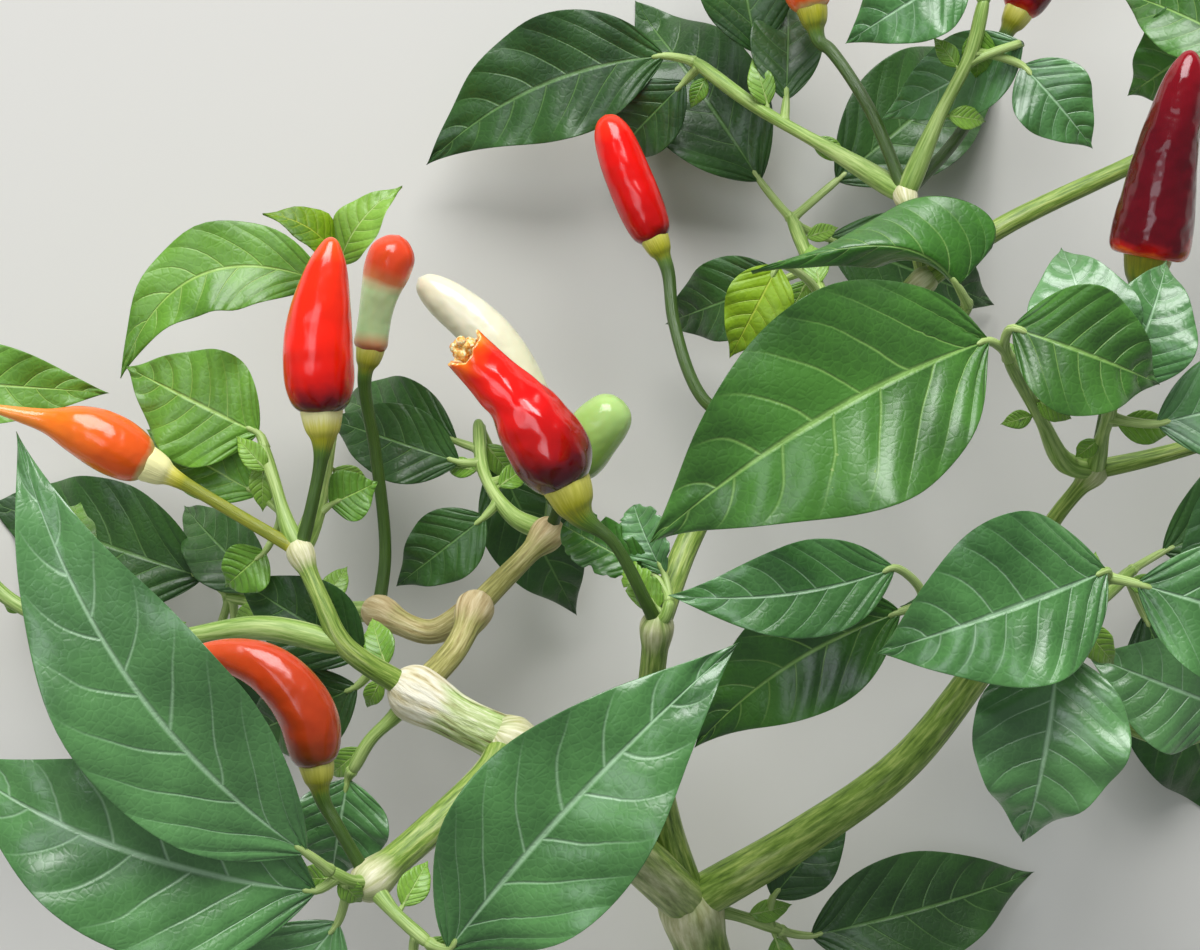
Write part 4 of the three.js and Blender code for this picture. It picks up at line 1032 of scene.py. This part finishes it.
SPRAYS = {
    "spray_behind_fruit": twig_with(
        [LEFT_FORK, [-44, -4, 55], [-41.4, 11.7, 48], [-41, 27, 46]],
        leaf(0.15, [-42.2, -4.7, 57], [-34.7, -1.1, 56], 4.2, bow=1),
        leaf(1, [-43, 30, 46], [-75.3, 15.2, 48], 7.5, sway=-9, roll=15),
        leaf(1, [-40.6, 33, 48], [-30.9, 45.2, 50], 4.2, roll=-25),
        leaf(1, [-41.5, 34, 50], [-52.8, 41, 55], 3.8, roll=35),
    ),
    "spray_left_near": twig_with(
        [LEFT_FORK, [-48.8, -8, 62.5], [-51, -0.8, 60], [-52.8, 4.7, 58]],
        leaf(0.95, [-53.4, 6.5, 57.5], [-74.2, 17, 54], 9.5, bow=1.5, fold=5),
        leaf(0.4, [-52.4, -12, 59], [-58.6, -17.6, 57], 4.2, bow=2),
        leaf(0.35, [-53.4, -3, 55], [-71, 7.2, 46], 5.5),
    ),
    "spray_left_edge": twig_with(
        [LEFT_BEND, [-52.8, -23.9, 64], [-73.4, -25.8, 62], [-92.2, -19.5, 60], [-104, -5, 57]],
        leaf(1, [-108, 15, 55], [-76.6, 12.8, 54], 6.4),
        leaf(1, [-107, -8, 55], [-112, -34, 46], 8),
        young=2, seed=3,
    ),
    "spray_low_left": twig_with(
        [NEAR_FORK, [-39, -63.5, 90], [-42, -62, 92]],
        leaf(1, [-46, -59, 95], [-91.4, 7, 106], 12.5, bow=6, sway=6),
        leaf(0.85, [-44.5, -65, 91], [-104, -43, 94], 14, bow=7, sway=3),
        leaf(0.7, [-41, -70, 86], [-64, -98, 66], 11.5, bow=5),
    ),
    "spray_low_front": twig_with(
        [NEAR_FORK, [-32, -68.5, 89], [-27, -73, 91]],
        leaf(1, [-23.5, -74, 92], [22, -26, 99], 13.5, bow=6, sway=2),
        leaf(0.85, [-29, -76, 88], [-12, -101, 68], 10.5, bow=5),
    ),
    "spray_hanging_leaf": twig_with(
        [CORKY_FORK, [-32, -37.6, 62], [-35.9, -41.4, 62], [-38.6, -46, 61]],
        leaf(1, [-39.4, -47.5, 60], [-42, -63.5, 54], 7.8, bow=2),
    ),
    "spray_shaded_leaf": twig_with(
        [CORKY_FORK, [-33, -31.5, 59], [-36, -29, 57]],
        leaf(1, [-37, -28, 56.5], [-57, -16, 54], 7),
        leaf(0.9, [-38, -33, 55], [-56, -41, 46], 7),
    ),
    "spray_centre": twig_with(
        [CENTRE_FORK, [10.4, -21.8, 62], [10.8, -20, 61.5]],
        leaf(1, [8.4, -15.6, 58.5], [-5.9, -7.8, 56], 4.4, bow=1, fold=20, widest=0.6),
        leaf(1, [10, -15.4, 59], [5.2, -4.6, 57.5], 4, bow=1, roll=-15, widest=0.58),
    ),
    "spray_right_low": twig_with(
        [RIGHT_FORK, [57, -21.4, 54], [51, -20.2, 57]],
        leaf(1, [46.9, -21.4, 57], [14.5, -43, 52], 9.5, bow=3, sway=-3),
        leaf(1, [46, -14.5, 62], [10.5, -18.8, 65], 7.5, bow=2, sway=2),
    ),
    "spray_right_front": twig_with(
        [RIGHT_FORK, [70, -25, 66], [76, -20, 84], [79, -16, 91]],
        leaf(1, [79, -15, 94], [43, -28, 95], 12.5, bow=6),
        leaf(0.85, [71.5, -27, 89], [66, -58, 84], 11.5, bow=6),
        leaf(1, [84, -17, 93], [114, -26, 78], 10.5, bow=6),
    ),
    "spray_right_arch": twig_with(
        [SMALL_FORK, [72.7, 2, 66], [69, 8.6, 74], [64, 18, 90]],
        leaf(1, [60.5, 21, 95], [7.5, -10.9, 100], 16, bow=8, sway=-3),
        leaf(1, [64.5, 23, 97], [88, 14, 91], 9.5, bow=4),
    ),
    "spray_right_top": twig_with(
        [SMALL_FORK, [78.4, 5.5, 70], [80, 11, 82]],
        leaf(1, [81.5, 13.5, 84], [88.5, 33.5, 80], 7.5, bow=4),
        leaf(1, [77.5, 15, 85], [72, 36, 80], 8.5, bow=5),
        leaf(0.8, [87, 8, 80], [111, 14, 72], 8, bow=5),
    ),
    "spray_right_end": twig_with(
        [RIGHT_TIP, [107, 8.6, 67.5], [112, 10, 64]],
        leaf(0.6, [107, 4, 68], [89, -18, 64], 6.5),
        young=1, seed=5,
    ),
    "spray_right_edge": twig_with(
        [RIGHT_FORK, [76, -36, 47], [90, -41.5, 47], [97, -39, 49]],
        leaf(1, [97.5, -36.4, 50], [76, -28, 56], 9.5),
        leaf(0.9, [99, -44, 46], [118, -66, 28], 9, bow=5),
        young=1, seed=2,
    ),
    "spray_outer_end": twig_with(
        [OUTER_TIP, [103, 60, 56], [105, 66, 53], [106, 72, 47]],
        leaf(0.9, [101, 72, 48], [82, 59, 36], 8, bow=4),
        young=3, seed=7,
    ),
    "spray_folded_leaf": twig_with(
        [UPPER_REACH, [46, 20.5, 58], [55, 23.5, 60], [57.5, 26.5, 62.5]],
        leaf(1, [55.9, 29.5, 66], [23.4, 32.2, 68], 6.5, roll=-2, fold=-58, twist=90, widest=0.1,
            bends=[[49, 40, 74], [37, 35, 73]]),
    ),
    "spray_top_left": twig_with(
        [TOP_FORK, [37.5, 50, 38], [24.5, 57.5, 28], [15, 64.5, 21]],
        leaf(1, [10, 65.5, 19], [-27.3, 48.4, 11], 10.5, bow=1.5, sway=-4),
        leaf(0.7, [24.5, 66, 26], [19, 92, 18], 8, bow=4),
        young=2, seed=4,
    ),
    "spray_top_right": twig_with(
        [TOP_FORK, [53, 56, 51], [58, 66, 54], [60, 74, 55]],
        leaf(1, [57, 79, 55], [38.3, 67.4, 54], 7.5),
        leaf(0.75, [66, 64, 52], [77, 51, 50], 6.5, bow=2),
        leaf(0.7, [66, 67.5, 52], [43.8, 55.5, 40], 6.5, bow=0),
        leaf(1, [60.5, 80, 53], [55, 100, 42], 7, bow=4),
    ),
    "spray_low_right": twig_with(
        [MAIN_FORK, [22, -69, 22], [28, -71, 18]],
        leaf(0.9, [27, -66, 22], [39, -50, 22], 5.8, bow=2),
        leaf(1, [33, -72, 15], [68, -62, 5], 10, bow=5),
        leaf(1, [31, -76, 12], [60, -99, -5], 9.5, bow=6),
    ),
    "spray_middle": twig_with(
        [FAR_FORK, [-13.5, -6.5, 34], [-18, 0, 28], [-19, 8, 20]],
        leaf(0.4, [-18, -6.5, 32], [-32, -17.5, 27], 6, bow=2),
        leaf(0.7, [-22, 2, 26], [-43, 9, 18], 6.5),
        young=3, seed=1,
    ),
    "spray_left_ground": twig_with(
        [SHADE_FORK, [-46, -21, 26], [-58, -19, 15]],
        leaf(1, [-62, -16, 11], [-95, -4, -6], 11, bow=6),
        leaf(1, [-60, -25, 11], [-78, -57, -6], 11, bow=6),
        young=2, seed=6,
    ),
    "spray_right_ground": twig_with(
        [RIGHT_FORK, [76, -21, 32], [83, -15, 16]],
        leaf(1, [88, -12, 11], [117, 3, -7], 10.5, bow=6),
        leaf(0.95, [85, -22, 12], [97, -54, -6], 10.5, bow=6),
        young=1, seed=8,
    ),
    "spray_top_ground": twig_with(
        [UPPER_REACH, [34, 30, 34], [30, 40, 17]],
        leaf(1, [25, 46, 11], [5, 74, -6], 10.5, bow=6),
        leaf(1, [37, 46, 11], [63, 67, -6], 10.5, bow=6),
        leaf(0.2, [27.8, 32.8, 60], [20.2, 18.2, 57], 5.3, bow=2, fold=8),
        young=2, seed=9,
    ),
}
print(len(SPRAYS), "sprays with", sum(len(spray["leaves"]) for spray in SPRAYS.values()), "placed leaves")

# %% [markdown]
# Most leaves are of the middle green. The others get their colour from where they hang: deep in the
# shade behind, blue-green with a painted sky sheen in front and at the right, bright where they are young.

# %% Tones of the sprays
# The leaf colour of each spray that isn't of the middle green, or of each of its placed leaves.
SPRAY_TONES = {
    "spray_behind_fruit": ("bright", "bright", "fresh", "lit"),
    "spray_left_near": ("bright",),
    "spray_left_edge": ("bright",),
    "spray_centre": ("mid", "cool"),
    "spray_right_low": ("mid", "cool"),
    "spray_right_front": ("cool",),
    "spray_right_top": ("cool",),
    "spray_right_end": ("cool",),
    "spray_right_edge": ("cool",),
    "spray_top_left": ("deep",),
    "spray_top_right": ("cool",),
    "spray_top_ground": ("deep", "deep", "lit"),
    "spray_low_left": ("cool",),
    "spray_low_front": ("cool",),
    "spray_shaded_leaf": ("deep",),
    "spray_hanging_leaf": ("cool",),
    "spray_middle": ("deep",),
    "spray_left_ground": ("deep",),
    "spray_right_ground": ("deep",),
    "spray_low_right": ("deep",),
}
USUAL_TONE = ("mid",)
# The spray whose leaves were nibbled, and how deep over their width.
RAGGED = {"spray_centre": 0.5}
print("tones in use:", sorted({tone for tones in SPRAY_TONES.values() for tone in tones}))

# %% [markdown]
# The rule that grows young leaves on the twigs is the construction model's too, written here again:
# each next leaf grows further along the twig and a golden angle further round it, and droops. Written
# as a rule, it can also be carried on to smaller leaves below.

# %% Young leaves
# Young leaves: length, from and to, and over it the half width, the stalk and the bow. The droop is in
# degrees, from and to, and the first one grows this far along the twig or further.
YOUNG_LENGTH = (19.5, 32.5)
YOUNG_HALF = 0.27
YOUNG_STEM = 0.2
YOUNG_BOW = 0.13
YOUNG_DROOP = (10, 45)
YOUNG_FROM = 0.4
GOLDEN_ANGLE = 137.5
SEED_STEP, MULTIPLIER, MODULUS = 7919, 16807, 2147483647


def seeded(seed):
    """Numbers between 0 and 1: the state times 16807, modulo 2147483647, over the latter."""
    state = seed * SEED_STEP
    while True:
        state = state * MULTIPLIER % MODULUS
        yield state / MODULUS


def young_leaves(spray, count, seed, lengths=YOUNG_LENGTH):
    """The seeded rule: place along the twig, turn round it, droop and length, drawn in this order."""
    way = path_through(spray["twig"])
    random = seeded(seed)
    start = 360 * next(random)
    leaves = []
    for i in range(count):
        at = YOUNG_FROM + (1 - YOUNG_FROM) * (i + next(random)) / count
        turn = math.radians(start + i * GOLDEN_ANGLE)
        droop = math.radians(YOUNG_DROOP[0] + (YOUNG_DROOP[1] - YOUNG_DROOP[0]) * next(random))
        length = lengths[0] + (lengths[1] - lengths[0]) * next(random)
        level = math.cos(droop)
        heading = np.array([math.cos(turn) * level, math.sin(turn) * level, -math.sin(droop)])
        neck = along(way, [at * way["length"]])[0][0] + YOUNG_STEM * length * heading
        leaves.append(leaf(at, neck, neck + length * heading, YOUNG_HALF * length, bow=YOUNG_BOW * length))
    return leaves


print("young leaves:", sum(spray["young"] for spray in SPRAYS.values()))

# %% [markdown]
# A leaf is built on its midrib, a curve in space. Most need only its two ends and a bow towards the
# face, which make it a parabola. A folded one is drawn with two bends of its own.

# %% Midribs
def midrib_of(part):
    """The midrib's four controls and the way that the face looks, turned by the roll. A midrib with no
    bends of its own is a parabola, bowed towards the face and swayed aside."""
    start, end = place(part["neck"]), place(part["tip"])
    way = unit(end - start)
    level = unit(np.array([-way[1], way[0], 0]))
    upright = np.cross(way, level)
    cosine, sine = math.cos(math.radians(part["roll"])), math.sin(math.radians(part["roll"]))
    face, aside = upright * cosine - level * sine, level * cosine + upright * sine
    middle = (start + end) / 2 + 2 * part["bow"] * face + 2 * part["sway"] * aside
    bends = [place(bend) for bend in part["bends"]] or [(start + 2 * middle) / 3, (end + 2 * middle) / 3]
    return [start, *bends, end], face


def midrib_at(controls, t):
    """Cubic Bezier curve through its first and last control: points and directions at t."""
    a, b, c, d = controls
    t = t[:, None]
    points = (1 - t) ** 3 * a + 3 * t * (1 - t) ** 2 * b + 3 * t**2 * (1 - t) * c + t**3 * d
    return points, unit((1 - t) ** 2 * (b - a) + 2 * t * (1 - t) * (c - b) + t**2 * (d - c))


controls, _ = midrib_of(leaf(0, [0, 0, 60], [40, 0, 60], 8))
print("halfway along a bowed midrib:", midrib_at(controls, np.array([0.5]))[0][0].round(1))

# %% [markdown]
# A blade is a surface over its midrib. t runs along it and s across it, from -1 to 1 over the upper
# face and back under the lower one. The halves rise from the midrib by the fold, the margin waves, the
# blade puffs up between the side veins, and the tip curls down.

# %% Blades
LEAF_THICKNESS = 0.36
# How pointed a blade's ends are, and a nibbled one's.
POINTED, BLUNT = 1.15, 0.5
# What is left of the half width at the neck, over the widest.
NECK_WIDTH = 0.03
# The share of the rows that are drawn towards the ends, where a blade curves most.
ROWS_AT_ENDS = 0.35
# Over the half width: how rounded the valley along the midrib is, and how high the margin waves and
# the blade puffs up.
VALLEY, WAVE, PUFF = 0.12, 0.09, 0.06
# How many waves a margin has, from and to.
WAVES = (2.2, 3.6)
# How unlike the halves are, and how far the tip curls down over the length.
UNEVEN, CURL = 0.05, 0.035
# The midrib below: how far it stands out and half its width.
KEEL, KEEL_WIDTH = 0.45, 0.55
# Small bites along a nibbled margin: their depth and number, beside the broad seeded ones.
SMALL_BITE, SMALL_BITES = 0.4, 23
# Nothing of a leaf lies lower than this.
LOWEST = 0.02


def blade_width(t, widest, point):
    """Half width over the widest: sin(pi * t ** p) ** point, with a trace at the neck, where the power
    p puts the widest place where it belongs."""
    power = math.log(0.5) / math.log(widest)
    return np.sin(np.pi * np.clip(t, 0, 1) ** power) ** point + NECK_WIDTH * (1 - t)


def blade(part, rows, columns, seed, ragged=0):
    """Points = midrib(t) + s * width * out + (fold + wave + puff + curl) * up, and both faces half a
    thickness away, closing at the margin. ragged is the depth of the bites in it over the width."""
    controls, face = midrib_of(part)
    random = np.random.default_rng(seed)
    even = np.linspace(0, 1, rows)
    t = (1 - np.cos(np.pi * even)) / 2 * ROWS_AT_ENDS + even * (1 - ROWS_AT_ENDS)
    lower = columns // 2
    over = np.sin(np.linspace(-np.pi / 2, np.pi / 2, columns, endpoint=False))
    s = np.concatenate([over, np.linspace(1, -1, lower, endpoint=False)])
    upper = np.concatenate([np.ones(columns), -np.ones(lower)])
    spine, tangent = midrib_at(controls, t)
    level = unit(np.cross(face, tangent))
    twist = np.radians(part["twist"] * (t - 0.5))[:, None]
    out = level * np.cos(twist) + np.cross(tangent, level) * np.sin(twist)
    up = np.cross(tangent, out)
    length = np.linalg.norm(np.diff(spine, axis=0), axis=1).sum()
    t_, s_, sign, outward = t[:, None], s[None, :], np.sign(s)[None, :], np.abs(s)[None, :]
    half, fold = part["half"], math.radians(part["fold"])
    bites = flutes(rows, 1, seed, count=6, turns=(1, 1), sway=9)
    bites = bites + SMALL_BITE * np.sin(SMALL_BITES * t_ + 2 * sign)
    bitten = 1 - ragged * np.clip(bites, 0, 1) * outward**3
    width = half * blade_width(t, part["widest"], BLUNT if ragged else POINTED)
    side = s_ * width[:, None] * bitten * (1 + UNEVEN * sign * random.uniform(-1, 1))
    lift = math.tan(fold) * (np.hypot(side, VALLEY * half) - VALLEY * half)
    waves = random.uniform(*WAVES)
    wave = np.sin(math.tau * (waves * t_ + 0.4 * sign + random.random())) * np.sin(np.pi * t_) ** 0.5
    wave = WAVE * half * outward**2.2 * wave
    start = t_ - outward * (VEIN_SLOPE + VEIN_BEND * outward) * (VEIN_END - t_)
    phase = (SIDE_VEINS * start + VEIN_STAGGER * (s_ > 0)) % 1 - 0.5
    puff = (np.abs(np.sin(np.pi * phase)) ** 0.7 - 0.6) * (1 - outward**3) * np.minimum(1, outward * 4)
    curl = -CURL * length * t_**3 * random.uniform(0.2, 1)
    keel = KEEL * np.exp(-((side / KEEL_WIDTH) ** 2)) * (1 - 0.8 * t_) * (upper < 0)
    half_thick = LEAF_THICKNESS / 2 * np.sqrt(np.maximum(1 - outward**6, 0.02)) / math.cos(fold)
    rise = lift + wave + PUFF * half * puff + curl
    middle_sheet = spine[:, None] + side[..., None] * out[:, None] + rise[..., None] * up[:, None]
    below_floor = np.maximum(0, LEAF_THICKNESS - middle_sheet[..., 2])
    points = middle_sheet + (upper * half_thick - keel)[..., None] * up[:, None]
    points[..., 2] = np.maximum(points[..., 2] + below_floor, LOWEST)
    return points, t, np.append((s + 1) / 2, 0), (upper < 0).astype(int)


test = blade(SPRAYS["spray_right_arch"]["leaves"][0], 20, 12, 1)[0]
print("the largest leaf spans", np.ptp(test.reshape(-1, 3), axis=0).round(1), "mm")

# %% [markdown]
# Each leaf stands on a stalk that sags a little from the twig and runs on under the blade. Both twigs
# and stalks are thin tubes with few sides, because there are many of them.

# %% Twigs and leaf stalks
# A leaf stalk runs on this far under the blade, and sags by this share of its length.
PETIOLE_SUNK, PETIOLE_SAG = 2.4, 0.12
# It widens over this length where it leaves the twig. Its radii: there, after that, halfway, where the
# blade begins and under it.
PETIOLE_FOOT = 1.2
PETIOLE_RADII = [1.15, 0.85, 0.72, 0.62, 0.28]
# A leaf this wide or wider stands on a stalk of the full radius.
FULL_LEAF = 5
TWIG_RADIUS = 1.2
# Along a twig: share of its length and radius over the twig's.
TWIG_TAPER = [[0, 1.05], [0.5, 0.85], [1, 0.75]]
# Its rounded tip: length, and radius over the twig's.
TIP_LENGTH, TIP_RADIUS = 0.7, 0.4
TWIG_SIDES, TWIG_STEP = 12, 0.8


def thin_tube(way, stations, pale=0.2):
    """A tube through [distance, radius] stations."""
    ends = [stations[0][0], 0], [stations[-1][0], 0]
    distance, radius = smooth_profile([ends[0], *stations, ends[1]], TWIG_STEP)
    return shell(round_surface(way, distance, radius, TWIG_SIDES), pale=pale, share=distance / UV_STEP)


def leaf_stalk(part, twig_way):
    """From the twig to a little way under the blade, thickest where it leaves the twig."""
    foot = along(twig_way, [part["at"] * twig_way["length"]])[0][0]
    controls, _ = midrib_of(part)
    start, heading = controls[0], unit(controls[1] - controls[0])
    sag = (foot + start) / 2 - PETIOLE_SAG * np.linalg.norm(start - foot) * heading
    way = path_through([foot, sag, start, start + PETIOLE_SUNK * heading])
    length, slim = way["length"], min(1, part["half"] / FULL_LEAF)
    places = [0, min(PETIOLE_FOOT, length / 4), length / 2, length - PETIOLE_SUNK, length]
    stations = [[where, radius * slim] for where, radius in zip(places, PETIOLE_RADII)]
    return thin_tube(way, stations, pale=0.35)


print("a leaf stalk's radii:", PETIOLE_RADII)

# %% [markdown]
# Tiny new leaves are added near each twig's tip, by the same rule carried on smaller. A leaf of the
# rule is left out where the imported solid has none, because there it would touch something. Then each
# spray is joined into two pieces, its leaves and its sticks.

# %% Growing the sprays
# Tiny leaves: length, from and to, how many a twig may get, and what their seed is ahead by.
TINY_LENGTH, TINY_COUNT, TINY_SEED = (5, 10), 3, 31
# A young leaf is in the solid if its tip is this near to one of the solid's corners.
SAME_PLACE = 4
# Rows and columns of a blade's grid, by the least half width that they are for. A twisted blade has a
# row more for every few degrees, and a nibbled one has more too.
GRIDS = [(8.8, (44, 28)), (4, (32, 20)), (0, (14, 10))]
DEGREES_A_ROW, RAGGED_ROWS = 3, 24
SEEDS_A_SPRAY = 100
# How far a leaf's colour may have turned to its veins'.
MOST_AGED = 0.12


def solid_points(node):
    """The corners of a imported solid, in millimetres."""
    mesh = frame["nodes"][node].data
    corners = np.empty(len(mesh.vertices) * 3, np.float32)
    mesh.vertices.foreach_get("co", corners)
    return corners.reshape(-1, 3) / MM


def leaves_of(name, spray, seed):
    """Each leaf of a spray with its tone: the placed ones, the rule's, and tiny ones near the tip."""
    tones = SPRAY_TONES.get(name, USUAL_TONE)
    grown = [(each, tones[min(i, len(tones) - 1)]) for i, each in enumerate(spray["leaves"])]
    solid = solid_points(name)
    for each in young_leaves(spray, spray["young"], spray["seed"]):
        if np.linalg.norm(solid - place(each["tip"]), axis=1).min() < SAME_PLACE:
            grown.append((each, tones[0]))
    low, high = np.array(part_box(name)) / MM
    for each in young_leaves(spray, TINY_COUNT, seed + TINY_SEED, TINY_LENGTH):
        if np.all(place(each["tip"]) > low) and np.all(place(each["tip"]) < high):
            grown.append((each, "fresh"))
    return grown


def grow_spray(name, spray, seed):
    """All of one spray: its leaves in one piece, its twig and their stalks in another."""
    twig_way = path_through(place(spray["twig"]))
    length = twig_way["length"]
    stations = [[share * length, radius * TWIG_RADIUS] for share, radius in TWIG_TAPER]
    leaves, sticks = [], [thin_tube(twig_way, [*stations, [length + TIP_LENGTH, TIP_RADIUS * TWIG_RADIUS]])]
    grown = leaves_of(name, spray, seed)
    worn = sorted({tone for _, tone in grown})
    for i, (each, tone) in enumerate(grown):
        leaf_seed = SEEDS_A_SPRAY * seed + i
        rows, columns = next(grid for least, grid in GRIDS if each["half"] > least)
        rows += round(abs(each["twist"]) / DEGREES_A_ROW) + (RAGGED_ROWS if name in RAGGED else 0)
        points, t, across, face = blade(each, rows, columns, leaf_seed, RAGGED.get(name, 0))
        slot = 2 * worn.index(tone) + face[None, :]
        pale = np.random.default_rng(leaf_seed).uniform(0, MOST_AGED)
        leaves.append(shell(points, across=across, slot=slot, pale=pale, share=t))
        sticks.append(leaf_stalk(each, twig_way))
    skins = [skin[tone] for tone in worn for skin in (UPPER, UNDER)]
    short_name = name.removeprefix("spray_")
    make_piece(f"leaves_{short_name}", leaves, skins, name)
    make_piece(f"twigs_{short_name}", sticks, [twig_green], None)
    return len(leaves)


counts = [grow_spray(name, spray, seed) for seed, (name, spray) in enumerate(SPRAYS.items())]
print(len(counts), "sprays with", sum(counts), "leaves")

# %% [markdown]
# The branch lies on a pale, matt floor, which is a stage and no part of the object.

# %% Floor
# How far it reaches each way, in metres.
FLOOR_REACH = 4
floor_finish, tree, shader = start_material("pale matt floor")
fill(tree, shader, {"Base Color": colour("#d3d1ca"), "Roughness": 0.9})
floor_mesh = bpy.data.meshes.new("floor")
floor_corners = [(x * FLOOR_REACH, y * FLOOR_REACH, 0) for x, y in ((-1, -1), (1, -1), (1, 1), (-1, 1))]
floor_mesh.from_pydata(floor_corners, [], [(0, 1, 2, 3)])
floor_mesh.materials.append(floor_finish)
floor = bpy.data.objects.new("floor", floor_mesh)
bpy.context.scene.collection.objects.link(floor)
print("floor corners:", floor_corners)

# %% [markdown]
# Soft lamps light the branch from the far side and above, as under an open sky: one broad bright patch
# for the glints on the fruits and the sheen on the leaves, and two weak ones. They are large and far
# off, so that the floor is lit evenly.

# %% Light
# The lamps' places and sizes are in metres, and their energy is in watts.
# The lamps face the middle of the branch, half its height up.
AIM = np.array([0, 0, 0.05])


def lamp(name, position, size, energy, tint, glints=True):
    """A square area light that faces the branch. One without glints isn't mirrored in anything."""
    light = bpy.data.lights.new(name, "AREA")
    light.size, light.energy, light.color = size, energy, colour(tint)[:3]
    holder = bpy.data.objects.new(name, light)
    holder.location = position
    x, y, z = AIM - position
    holder.rotation_euler = (math.atan2(math.hypot(x, y), -z), 0, math.atan2(y, x) - math.pi / 2)
    holder.visible_glossy = glints
    bpy.context.scene.collection.objects.link(holder)


lamp("sun_patch", (0.0, 1.2, 0.92), 1.0, 31, "#fcfcff")
lamp("open_sky", (-0.6, 0.2, 2.0), 0.8, 6, "#eef6ff")
lamp("side_fill", (-1.6, -0.5, 1.0), 1.2, 5, "#fff8ee", glints=False)
world = bpy.data.worlds.new("studio")
world.use_nodes = True
fill(world.node_tree, world.node_tree.nodes["Background"], {"Color": colour("#e4ecf4"), "Strength": 0.25})
bpy.context.scene.world = world
bpy.context.scene.view_settings.view_transform = "Standard"
print("lamps:", [each.name for each in bpy.data.lights])

# %% [markdown]
# The camera hangs over the branch at the height that the places were read from, and looks straight
# down. A 100 mm lens on a 36 mm wide frame shows 188 mm of the sharp plane.

# %% Camera
view = bpy.data.cameras.new("view")
view.lens = 100
view.sensor_width = 36
view.clip_start = 0.01
eye = bpy.data.objects.new("eye", view)
eye.location = (SHIFT[0] * MM, SHIFT[1] * MM, SIGHT_HEIGHT * MM)
bpy.context.scene.collection.objects.link(eye)
bpy.context.scene.camera = eye
print("camera", [round(value, 4) for value in eye.location])
